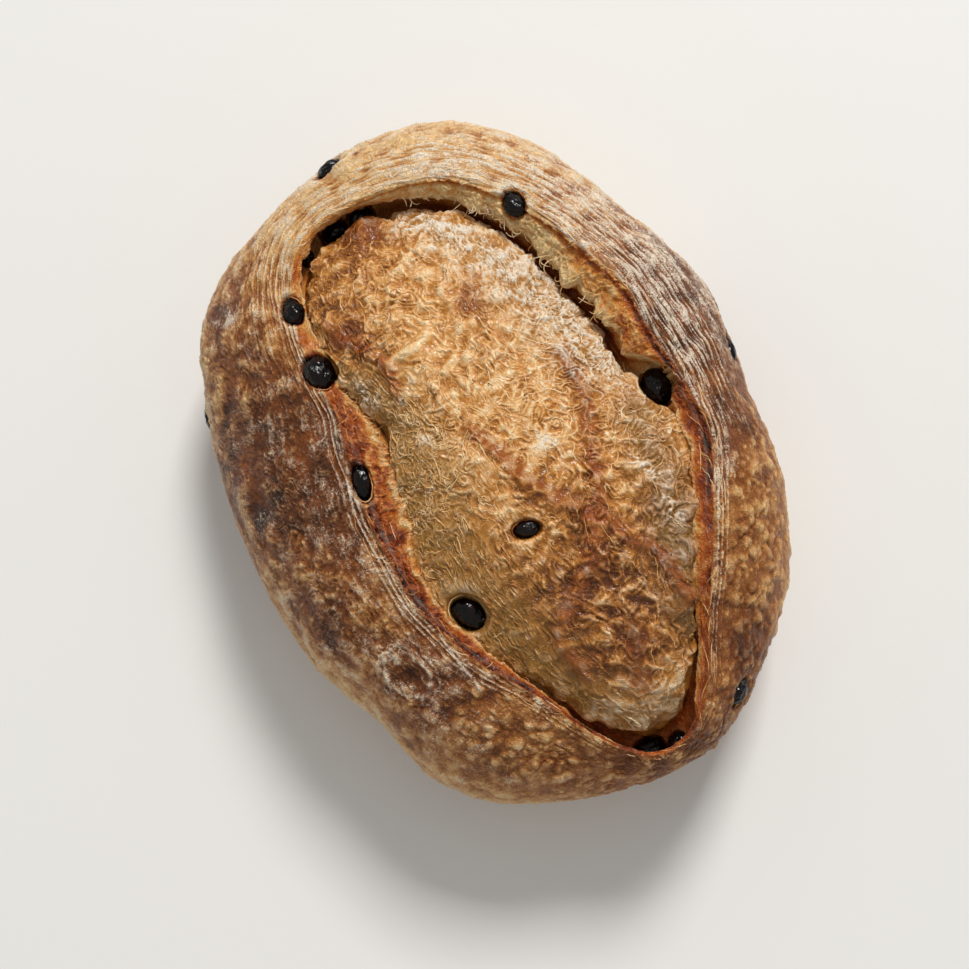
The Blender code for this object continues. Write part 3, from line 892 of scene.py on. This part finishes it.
def crust_finish():
    """Baked crust with a slight gloss under a broken dust of flour, and glossy amber where it tore."""
    finish = Finish("baked_crust")
    crest = finish.mask("crest")
    flour = finish.mask("flour")
    bake = finish.mask("bake")
    curl = finish.curls(2.2, 13.0)
    fine = finish.curls(1.1, 11.0)
    speck = finish.grain(0.5, 3.0)
    mottle = finish.grain(3.0, 3.0)
    # Painted shade darkens the hollows of the relief, painted highlight pales its ridges and curl lines
    depth = bake + (0.5 - crest) * 0.9 + (mottle - 0.5) * 0.4 - curl * 0.18 - fine * 0.1
    colour = finish.baked(CRUST_TONES, depth)
    colour = finish.blend((finish.mask("ruddy") * depth.held() * 0.6).held(), colour, RUST)
    colour = finish.blend(((crest - 0.55) * (0.5 + curl)).held(), colour, PAINTED_HIGHLIGHT_STRAW)
    dust = flour * (0.25 + 0.65 * curl + 0.65 * fine) + (crest - 0.5) * flour * 1.2 + (speck - 0.5) * 0.4
    dust = dust.above(0.24, 0.70)
    colour = finish.blend(dust * 0.84, colour, BASKET_FLOUR)
    # On the torn crumb too: painted shade in the hollows and painted highlight on the ridges
    torn_depth = bake - 0.02 + (0.5 - crest) * 0.45 + (speck - 0.5) * 0.12 - curl * 0.12
    torn = finish.baked(TORN_TONES, torn_depth)
    torn = finish.blend(((crest - 0.62) * 1.2 * (0.4 + curl)).held(), torn, TORN_PAINTED_HIGHLIGHT)
    torn = finish.blend((flour * 0.4).held(), torn, BASKET_FLOUR)
    torn_share = finish.mask("torn")
    colour = finish.blend(torn_share, colour, torn)
    rough = 0.34 + 0.38 * dust * (1 - torn_share) - 0.14 * torn_share
    relief = curl * 0.55 + fine * 0.22 + speck * 0.08
    finish.surface(base_color=colour, roughness=rough.held(), normal=finish.bump(relief, 0.5))
    finish.surface(specular_ior_level=0.32)
    return finish.material


baked_crust = crust_finish()
for (name, _, _), first, last in zip(PARTS, part_rows, part_rows[1:]):
    piece = band(name, first, last)
    piece.data.materials.append(baked_crust)
    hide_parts("loaf")

# Dome
# Inside the ring the open crumb has risen and baked: golden and wormy at the far end and over the crown,
# creamy along the side that the lip shaded, olive and downy on the other, with orange folds at the near end.
DOME_CELLS = 370

# Routes in plan that the dome's colours and folds follow
CREAM_BAND = (
    (-78, 8), (-69, 18), (-57, 26), (-41, 33), (-23, 38), (-9, 41), (7, 44), (23, 46), (41, 44), (59, 38),
)
OLIVE_BAND = (
    (-27, -30), (-13, -26), (4, -27), (24, -30), (44, -28), (64, -24), (83, -18), (99, -12), (106, 4),
)
SIDE_OLIVE = ((16, 45), (34, 43), (52, 39), (66, 35), (80, 31))
ORANGE_FOLDS = (
    ((-12, 32), (4, 33), (19, 27), (31, 23), (42, 18), (54, 26), (63, 31), (77, 31)),
    ((-2, -5), (17, 3), (31, 10), (42, 18)),
    ((-56, -30), (-44, -24), (-34, -18), (-22, -20)),
    ((42, 18), (52, 8), (60, -2), (69, -11), (84, -8)),
)

# Red-brown patches: X, Y, half width
RED_PATCHES = (
    (81, 11, 6), (53, 12, 4), (60, -2, 5), (79, -5, 5), (-80, -6, 8), (-50, -25, 5), (92, 6, 5),
    (-40, 14, 5),
)

# Bubbles with a pale outline, a peak at the far end and white tears: X, Y, half length, half width, heading
LOOPS = (
    (51, 18, 4.5, 2.8, 70), (70, 17, 6.5, 3.6, 30), (76, 8, 5.0, 3.2, 40), (60, 6, 4.2, 3.4, 0),
    (68, 24, 5.0, 3.0, 20), (86, 0, 5.0, 3.6, 60), (-3, 17, 3.0, 2.2, 20), (3, 22, 3.0, 2.0, 50),
    (88, 14, 4.5, 3.0, 20), (58, 15, 3.0, 2.4, 0),
)
PEAK = (-84, -6, 6.5, 5.0, 20)
WHITE_TEARS = (
    (13, 14, 5.5, 3.0, 20), (35, 39, 7.0, 1.8, 25), (-30, -29, 6.0, 3.4, 10), (-6, -18, 4.5, 1.8, 60),
    (50, 40, 5.0, 1.6, 0),
)


def dome_grid():
    """Ring numbers and bearings of a square grid drawn onto the dome as onto a disc."""
    steps = np.linspace(-1, 1, DOME_CELLS + 1)
    a, b = np.meshgrid(steps, steps, indexing="ij")
    wide = np.abs(a) >= np.abs(b)
    reach = np.where(wide, np.abs(a), np.abs(b))
    safe_a = np.where(a == 0, 1, a)
    safe_b = np.where(b == 0, 1, b)
    turn = np.where(wide, 45 * b / safe_a + 180 * (a < 0), 90 - 45 * a / safe_b + 180 * (b < 0))
    cuts = even_rings(RING_FLOOR, RING_CROWN, EVEN_TRIES)[::-1]
    return np.interp(reach, np.linspace(0, 1, len(cuts)), cuts), np.where(reach == 0, 0, turn)


dome_ring, dome_bearing = dome_grid()
dome = surface(dome_ring, np.mod(dome_bearing, 360))
dome_x = dome[..., 0]
dome_facing = facings(dome, False)
dome_near_raisin = from_raisins(dome)
gap_deep = ramp(around(GAP_DEPTH, np.mod(dome_bearing, 360)), 2.0, 8.0)
on_top = ramp(dome_ring - 0.6 * gap_deep, 17.1, 18.1)

cream_wide = 5.0 + 6.5 * ramp(dome_x, -78, -48)
from_cream = from_route(dome, CREAM_BAND) + 2.5 * wave(dome, 7.0, 91) + 1.5 * wave(dome, 2.5, 92)
cream = bell(from_cream, cream_wide)
cream *= 0.2 + 0.8 * ramp(-dome_x, -16, 8)
olive = bell(from_route(dome, OLIVE_BAND) + 3.0 * wave(dome, 8.0, 93), 14.0)
orange = sum(bell(from_route(dome, route) + 1.2 * wave(dome, 5.0, 94), 2.2) for route in ORANGE_FOLDS)
orange = np.minimum(orange, 1)
red = spots(stirred(dome, 5.0, 1.5, 24), RED_PATCHES)
tears = np.minimum(sum(bell(from_oval(stirred(dome, 3.0, 0.8, 25), *pale_mark), 0.9) for pale_mark in WHITE_TEARS), 1)
loop_rims = sum(bell(from_oval(dome, *loop) + 0.2 * wave(dome, 3.0, 95) - 1, 0.11) for loop in LOOPS)
loop_rims = np.minimum(loop_rims, 1)
loop_hollows = sum(bell(from_oval(dome, *loop), 0.75) for loop in LOOPS)
lively = np.clip(1 - 0.72 * olive - 0.62 * cream, 0.2, 1)
side_olive = bell(from_route(dome, SIDE_OLIVE) + 1.5 * wave(dome, 6.0, 97), 8.0)

broad_folds = ribbons(stirred(dome, 8.0, 4.0, 12), 15.0, 43, 4.0)
long_curls = ribbons(stirred(dome, 6.0, 3.2, 15), 9.0, 44, 7.5)
short_curls = ribbons(stirred(dome, 4.5, 2.4, 16), 6.0, 45, 5.5)
patch = ramp(wave(stirred(dome, 4.0, 2.0, 20), 6.5, 28), -0.2, 0.2)
crumb_curls = long_curls * patch + short_curls * (1 - patch)
crumb_curls *= 0.25 + 0.75 * ramp(wave(dome, 4.2, 29), -0.6, 0.4)
small_worms = worms(stirred(dome, 3.0, 1.6, 16), 1.7, 49, 2.4)
down = worms(stirred(dome, 7.0, 3.0, 18), (3.6, 1.3, 2.0), 46, 2.0)
dome_relief = 0.8 * wave(dome, 16.0, 26) + 1.0 * wave(dome, 6.5, 27) * (1 - 0.5 * olive)
curled = lively * (0.95 * crumb_curls + 0.6 * broad_folds + 0.2 * small_worms)
dome_relief += curled + (0.5 + 0.5 * cream) * (1 - lively) * down
dome_relief += 0.4 * cream * small_worms + 0.22 * np.maximum(olive, cream) * crumb_curls
peak = bell(from_oval(dome, *PEAK), 0.9)
dome_relief += 2.4 * peak
dome_relief += orange * (1.1 + 0.5 * crumb_curls) + 0.32 * loop_rims - 0.2 * loop_hollows
dome_relief += 0.5 * tears * small_worms
dome_by_raisin = dome_near_raisin + 0.10 * wave(dome, 3.5, 36)
clear_of_raisins = ramp(dome_by_raisin, 1.0, 1.6)
dome_relief = dome_relief * on_top * clear_of_raisins + round_raisins(dome_by_raisin)
dome_places = dome + dome_facing * dome_relief[..., None]
edge_share = ramp(dome_ring, 16.9, 17.6) * (1 - ramp(dome_ring, 18.5, 20.5)) * clear_of_raisins
for axis, salt in ((0, 67), (1, 68)):
    shift = 2.0 * wave(dome, 8.0, salt) + 1.2 * wave(dome, 3.5, salt + 2)
    dome_places[..., axis] += shift * edge_share
dome_places = opened(dome_places)
foot_share = ramp(dome_ring, 17.2, 17.5) * (1 - ramp(dome_ring, 20.5, 21.5))
dome_places = kept_in_box(hollowed(dome_places, foot_share, -1))

dome_bake = 0.34 + 0.12 * wave(dome, 12.0, 56) + 0.10 * wave(dome, 5.5, 57) + 0.06 * wave(dome, 2.6, 58)
dome_bake += 0.22 * orange + 0.32 * red + 0.34 * ramp(dome_x, 6, 62)
dome_bake += 0.3 * peak - 0.05 * ramp(-dome_x, 0, 30)
dome_bake -= 0.45 * ramp(dome_x, 84, 98)
far_left = bell(turn_between(dome_bearing, 203), 22) * (1 - ramp(dome_ring, 20, 21.6))
dome_bake += 0.14 * side_olive + 0.34 * far_left
dome_bake -= 0.06 * cream + 0.30 * tears + 0.12 * loop_rims
dome_bake = dome_bake * (1 - 0.5 * olive) + 0.42 * 0.5 * olive
# Painted shade: darker where the dome meets a raisin, and down the dome's foot where the gap is deep
dome_bake += 0.25 * bell(dome_by_raisin - 1.0, 0.1) + 0.3 * gap_deep * ramp(-dome_ring, -18.3, -17.6)
dome_flour = 0.9 * cream + 0.25 * ramp(dome_x, 86, 96) + 0.8 * tears + 0.1 * loop_rims
downy = np.maximum.reduce((olive, 0.85 * side_olive, 0.6 * cream))
amber = np.maximum(orange, 0.5 * red)
dome_masks = {
    "bake": np.clip(dome_bake, 0, 1),
    "flour": np.clip(dome_flour + 0.2 * wave(dome, 3.0, 64), 0, 1) * on_top,
    "olive": np.clip(downy * (0.85 + 0.3 * wave(dome, 5.0, 74)), 0, 1),
    "crest": standing_out(dome_relief, 4),
    "amber": np.clip(amber * (0.95 + 0.4 * wave(dome, 3.0, 75)), 0, 1),
}

DOME_TONES = tones(
    (0.0, 240, 210, 164), (0.25, 228, 174, 110), (0.5, 190, 124, 50), (0.75, 138, 82, 28), (1.0, 86, 44, 14),
)
OLIVE = tone(140, 102, 42)
# Pale gold, put on the dome's ridges and curls as painted highlight
GOLD_PAINTED_HIGHLIGHT = tone(248, 212, 156)
AMBER = tone(160, 80, 26)


def dome_finish():
    """Baked open crumb: glossy golden worms over orange hollows, with cream and olive down at the sides."""
    finish = Finish("golden_crumb")
    crest = finish.mask("crest")
    flour = finish.mask("flour")
    curl = finish.curls(4.5, 20.0)
    fine = finish.curls(2.4, 14.0)
    speck = finish.grain(0.5, 3.0)
    mottle = finish.grain(2.6, 3.0)
    bake = finish.mask("bake")
    # Painted shade darkens the hollows of the relief, painted highlight pales its ridges and curl lines
    depth = bake + (0.5 - crest) * 0.62 + (mottle - 0.5) * 0.2 - curl * 0.2 - fine * 0.14 + 0.06
    colour = finish.baked(DOME_TONES, depth)
    olive = finish.mask("olive")
    colour = finish.blend((olive * (1.0 - crest * 0.4)).held(), colour, OLIVE)
    # Painted highlight: pale gold on the ridges and curls
    gold_highlight = (crest - 0.55) * (0.5 + curl * 1.6) * (1.5 - bake * 1.7 - olive * 0.5)
    colour = finish.blend(gold_highlight.held(), colour, GOLD_PAINTED_HIGHLIGHT)
    colour = finish.blend((finish.mask("amber") * (1.0 - crest * 0.5)).held(), colour, AMBER)
    cream = flour * (0.28 + 0.5 * fine + 0.5 * curl + (crest - 0.5) * 2.4)
    colour = finish.blend(cream.held(), colour, BASKET_FLOUR)
    rough = (0.22 + 0.25 * flour + 0.08 * speck).held()
    relief = curl * 0.6 + fine * 0.4 + speck * 0.05
    finish.surface(base_color=colour, roughness=rough, normal=finish.bump(relief, 0.28))
    finish.surface(specular_ior_level=0.38)
    return finish.material


def open_faces(rows, columns):
    """Four-sided faces of an open grid."""
    start = np.arange(rows)[:, None] * (columns + 1)
    corner = start + np.arange(columns)
    return np.stack((corner, corner + columns + 1, corner + columns + 2, corner + 1), -1).reshape(-1, 4)


dome_shading = facings(dome_places, False)
golden_crumb = dome_finish()
half = DOME_CELLS // 2
for name, rows in (("dome_far_half", slice(0, half + 1)), ("dome_near_half", slice(half, DOME_CELLS + 1))):
    masks = {mask: values[rows] for mask, values in dome_masks.items()}
    faces = open_faces(len(dome_places[rows]) - 1, DOME_CELLS).tolist()
    piece = skin(name, dome_places[rows], dome_shading[rows], masks, faces)
    piece.data.materials.append(golden_crumb)
    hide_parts("loaf")

# Raisins
# Sun-dried vine fruit, black and sticky, folded into wrinkles as they dried. They sit half sunk where the
# dough closed round them, each with its own folds.
RAISIN_ROUND = 52
RAISIN_ROWS = 32
RAISIN_SUNK = 0.3
RAISIN_BLACK = tone(3, 3, 4)
RAISIN_RED = tone(70, 26, 20)


def raisin_finish():
    """Thin dark skin with a sticky gloss, brown-red where it is stretched over a fold."""
    finish = Finish("raisin_skin")
    share = (finish.mask("crest") * 0.3 - 0.1).held()
    colour = finish.blend(share * 0.6, RAISIN_BLACK, RAISIN_RED)
    finish.surface(base_color=colour, roughness=0.1, specular_ior_level=0.28)
    finish.surface(normal=finish.bump(finish.grain(2.2, 1.0, 1.0), 0.6))
    return finish.material


def raisin(name, salt):
    """A wrinkled oval in the place of a plain one, no larger than it and a little further in."""
    middle, axes, halves = lies[name]
    turn = np.linspace(0, 2 * math.pi, RAISIN_ROUND, endpoint=False)[None, :]
    rise = np.linspace(0.02, math.pi - 0.02, RAISIN_ROWS)[:, None]
    unit = np.stack((np.cos(rise) + 0 * turn, np.sin(rise) * np.cos(turn), np.sin(rise) * np.sin(turn)), -1)
    folded = stirred(unit, 0.9, 0.45, 100 + salt)
    folds = worms(folded, (0.9, 0.55, 0.55), 110 + salt, 2.6)
    creases = worms(folded, (0.6, 0.35, 0.35), 140 + salt, 3.2)
    size = 0.87 + 0.13 * folds + 0.07 * creases + 0.08 * wave(unit, 1.1, 170 + salt)
    centre = middle * (1 - RAISIN_SUNK / np.linalg.norm(middle))
    places = (unit * np.minimum(size, 1.0)[..., None] * halves) @ axes + centre
    ends = (unit[[0, -1], 0] * 0.85 * halves) @ axes + centre
    faces = band_faces(RAISIN_ROWS - 1, RAISIN_ROUND)[:, ::-1].tolist()
    last = RAISIN_ROWS * RAISIN_ROUND
    for step in range(RAISIN_ROUND):
        after = (step + 1) % RAISIN_ROUND
        faces.append((last, after, step)[::-1])
        faces.append((last + 1, last - RAISIN_ROUND + step, last - RAISIN_ROUND + after)[::-1])
    points = np.concatenate((places.reshape(-1, 3), ends))
    crest = np.concatenate((folds.ravel(), (0.0, 0.0)))
    return skin(name + "_fruit", points, None, {"crest": crest}, faces)


raisin_skin = raisin_finish()
for salt, name in enumerate(RAISINS):
    piece = raisin(name, salt)
    piece.data.materials.append(raisin_skin)
    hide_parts(name)

# Gluten threads
# Where the crumb tore, its gluten pulled out into fine strands that dried in curls on the dome, along the
# lip and over the gap. They are thin tapered strings of dough, rooted in what they lie on.
THREAD_SIDES = 3
THREAD_SEED = 41
THREAD_TONES = tones((0.0, 244, 226, 192), (0.35, 232, 188, 124), (0.65, 196, 126, 62), (1.0, 140, 74, 30))

CRUMB_THREADS = 420
DOWN_THREADS = 520
LIP_THREADS = 130
FRINGE_CLUMPS = 60
RIM_SECTORS = 32

# How much fringe hangs from the torn ledge, by bearing
FRINGE = {
    0: 0.25, 30: 0.4, 75: 0.7, 95: 1.0, 150: 1.0, 172: 0.3, 190: 0.02, 208: 0.6, 225: 1.0, 245: 0.6,
    300: 0.35, 335: 0.3,
}


def string(points, widths, facing, flat=1.0):
    """Corners of a thin string through points: a few corners round each of them. Flat squeezes it."""
    heading = np.gradient(points, axis=0)
    heading /= np.maximum(np.linalg.norm(heading, axis=1, keepdims=True), 1e-9)
    side = np.cross(heading, facing)
    side /= np.maximum(np.linalg.norm(side, axis=1, keepdims=True), 1e-9)
    top = np.cross(side, heading) * flat
    corners = []
    for step in range(THREAD_SIDES):
        angle = 2 * math.pi * step / THREAD_SIDES + math.pi / 2
        corners.append(points + widths[:, None] / 2 * (side * math.cos(angle) + top * math.sin(angle)))
    return np.stack(corners, axis=1)


def strings_piece(name, strings, material):
    """All the strings as one mesh of closed tubes."""
    places, faces, shade = [], [], []
    count = 0
    for corners, tint in strings:
        rows = len(corners)
        places.append(corners.reshape(-1, 3))
        faces += (band_faces(rows - 1, THREAD_SIDES)[:, ::-1] + count).tolist()
        faces.append(tuple(count + step for step in range(THREAD_SIDES)))
        faces.append(tuple(count + rows * THREAD_SIDES - 1 - step for step in range(THREAD_SIDES)))
        shade.append(np.full(rows * THREAD_SIDES, tint))
        count += rows * THREAD_SIDES
    piece = skin(name, kept_in_box(np.concatenate(places)), None, {"bake": np.concatenate(shade)}, faces)
    piece.data.materials.append(material)
    return piece


def thread_finish():
    """Dried strands, from pale to amber by how far each baked."""
    finish = Finish("gluten_threads")
    shade = finish.mask("bake") + (finish.grain(2.0) - 0.5) * 0.5
    finish.surface(base_color=finish.baked(THREAD_TONES, shade), roughness=0.36)
    return finish.material


def scattered(count, keep, chance):
    """Starting cells and headings, more of them where keep is near 1."""
    cells = chance.choice(keep.size, size=count, p=keep.ravel() / keep.sum())
    rows, columns = np.unravel_index(cells, keep.shape)
    return rows, columns, chance.uniform(0, 2 * math.pi, count)


def lying_strings(places, facing, starts, lengths, widths, curl, lift, shade, chance):
    """Strings that wander over a grid of places from starting cells and lie on it in low arches."""
    strings = []
    rows, columns = places.shape[:2]
    for row, column, heading in zip(*starts):
        at = np.array((float(row), float(column)))
        length, width = chance.uniform(*lengths), chance.uniform(*widths)
        steps = int(5 + length / 1.6)
        bend = chance.normal(0, curl)
        spots_on_way = []
        for step in range(steps + 1):
            i = int(np.clip(at[0], 1, rows - 2))
            j = int(at[1]) % columns
            arch = lift * math.sin(math.pi * step / steps)
            spots_on_way.append((places[i, j] + facing[i, j] * arch, facing[i, j]))
            cell_high = max(np.linalg.norm(places[i + 1, j] - places[i - 1, j]) / 2, 0.08)
            cell_wide = max(np.linalg.norm(places[i, (j + 1) % columns] - places[i, j]), 0.08)
            at += np.array((math.sin(heading) / cell_high, math.cos(heading) / cell_wide)) * length / steps
            bend = 0.8 * bend + chance.normal(0, curl * 0.5)
            heading += bend
        points, fronts = (np.array(values) for values in zip(*spots_on_way))
        taper = np.sin(np.linspace(0.3, math.pi - 0.3, steps + 1))
        tint = float(np.clip(shade[int(row), int(column)] + chance.normal(0, 0.15), 0, 1))
        strings.append((string(points, width * taper, fronts, 0.7), tint))
    return strings


def fringe_strings(clumps, chance):
    """Thin curled shreds, in clumps, that hang from the torn edge of the ledge over the gap."""
    strings = []
    share = np.clip(around(FRINGE, bearing_of[0]), 0.01, 1)
    edge_rows = np.flatnonzero((ring_of[:, 0] > 13.6) & (ring_of[:, 0] < 14.6))
    for middle in chance.choice(SIDES, size=clumps, p=share / share.sum()):
        lean = chance.normal(0, 0.7)
        reach = (1.5 + 3.0 * share[middle]) * chance.gamma(3.0, 0.33)
        tint = 0.5 - 0.25 * around(PALE_LAYER, bearing_of[0, middle]) + chance.normal(0, 0.16)
        for _ in range(chance.integers(1, 6)):
            column = int(middle + chance.normal(0, 5)) % SIDES
            row = int(chance.choice(edge_rows))
            if near_raisin[row, column] < 1.25:
                continue
            turn = math.radians(bearing_of[0, column]) + lean + chance.normal(0, 0.4)
            far = min(reach, 6.5) * chance.uniform(0.4, 1.1)
            sag, rise = chance.uniform(-0.3, 1.0), chance.uniform(-0.1, 0.4)
            steps = 8
            bend = chance.normal(0, 0.2)
            at = body_places[row, column] - body_facing[row, column] * 0.2
            points = [at]
            for step in range(steps):
                out = np.array((-math.cos(turn), -math.sin(turn), rise - sag * step / steps))
                at = at + out * far / steps
                points.append(at)
                bend += chance.normal(0, 0.1)
                turn += bend
            taper = np.linspace(1.0, 0.25, steps + 1) ** 0.8
            points = np.array(points)
            fronts = np.broadcast_to(np.array((0.0, 0.0, 1.0)), points.shape)
            width = chance.uniform(0.25, 0.7)
            strings.append((string(points, width * taper, fronts, 0.5), float(np.clip(tint, 0, 1))))
    return strings


def raisin_rims(chance):
    """Rolls of torn skin that lap over the edge of each raisin, each part of the way round it."""
    strings = []
    grids = ((body_places, dome_places), (body_facing, dome_shading), (body, dome))
    points, fronts, plain = (np.concatenate([grid.reshape(-1, 3) for grid in pair]) for pair in grids)
    for name in RAISINS:
        near = beside(plain, name)
        at_rim = (near > 0.98) & (near < 1.14)
        rim, front = points[at_rim], fronts[at_rim]
        if len(rim) < 40:
            continue
        up = front.mean(0) / np.linalg.norm(front.mean(0))
        side = np.cross(up, (0.0, 0.0, 1.0) if abs(up[2]) < 0.9 else (1.0, 0.0, 0.0))
        side /= np.linalg.norm(side)
        turn = np.arctan2((rim - rim.mean(0)) @ np.cross(up, side), (rim - rim.mean(0)) @ side)
        sector = np.digitize(turn, np.linspace(-math.pi, math.pi, RIM_SECTORS + 1)) - 1
        in_sectors = [sector == number for number in range(RIM_SECTORS)]
        loop = [(rim[inside].mean(0), front[inside].mean(0)) for inside in in_sectors if np.any(inside)]
        first = int(chance.integers(0, RIM_SECTORS))
        count = int(chance.integers(7, 19))
        route = [loop[(first + step) % len(loop)] for step in range(min(count, len(loop) - 1))]
        if len(route) < 4 or max(np.linalg.norm(a[0] - b[0]) for a, b in zip(route, route[1:])) > 4:
            continue
        path = np.array([place + way * chance.uniform(0.0, 0.35) for place, way in route])
        ways = np.array([way for _, way in route])
        taper = np.sin(np.linspace(0.25, math.pi - 0.25, len(path)))
        tint = float(np.clip(chance.normal(0.5, 0.2), 0, 1))
        strings.append((string(path, chance.uniform(0.4, 1.0) * taper, ways, 0.5), tint))
    return strings


chance = np.random.default_rng(THREAD_SEED)
on_dome = (dome_places, dome_shading)
clear = on_top * (dome_near_raisin > 1.3)
starts = scattered(CRUMB_THREADS, clear * lively, chance)
strings = lying_strings(*on_dome, starts, (4, 12), (0.4, 0.8), 0.45, 0.05, dome_bake, chance)
starts = scattered(DOWN_THREADS, clear * (0.03 + olive + 0.6 * cream), chance)
strings += lying_strings(*on_dome, starts, (2, 5), (0.3, 0.5), 0.7, 0.1, dome_bake - 0.05, chance)
lip_rows = slice(part_rows[3], part_rows[4] + 12)
on_lip = (body_places[lip_rows], body_facing[lip_rows])
keep = (bell(below_lip - 1, 7) * (near_raisin > 1.3))[lip_rows]
starts = scattered(LIP_THREADS, keep, chance)
starts = (*starts[:2], chance.normal(0, 0.2, LIP_THREADS))
shade = (body_masks["bake"] - 0.25)[lip_rows]
strings += lying_strings(*on_lip, starts, (4, 12), (0.3, 0.55), 0.1, 0.05, shade, chance)
strings += fringe_strings(FRINGE_CLUMPS, chance)
strings += raisin_rims(chance)
strings_piece("gluten_threads", strings, thread_finish())

# Floor and light
# A plain pale floor, one large soft light from beyond the far end and an even fill from all round.
bpy.ops.mesh.primitive_plane_add(size=6.0, location=(0.0, 0.0, 0.0))
floor = bpy.context.object
floor.name = "floor"
floor_finish = Finish("pale_floor")
floor_finish.surface(base_color=(0.80, 0.795, 0.775, 1.0), roughness=0.7)
floor.data.materials.append(floor_finish.material)

WINDOW_FROM = Vector((-0.70, 0.66, 0.95)).normalized()
WINDOW_FAR = 5.0
window = bpy.data.lights.new("window", "AREA")
window.shape = "SQUARE"
window.size = 1.3
window.energy = 212.0
window.color = (1.0, 0.985, 0.96)
window_lamp = bpy.data.objects.new("window", window)
window_lamp.location = WINDOW_FROM * WINDOW_FAR
window_lamp.rotation_mode = "QUATERNION"
window_lamp.rotation_quaternion = WINDOW_FROM.to_track_quat("Z", "Y")
bpy.context.scene.collection.objects.link(window_lamp)
world = bpy.data.worlds.new("even_fill")
world.use_nodes = True
world.node_tree.nodes["Background"].inputs["Color"].default_value = (1.0, 0.99, 0.975, 1.0)
world.node_tree.nodes["Background"].inputs["Strength"].default_value = 0.44
bpy.context.scene.world = world
bpy.context.scene.view_settings.view_transform = "Standard"
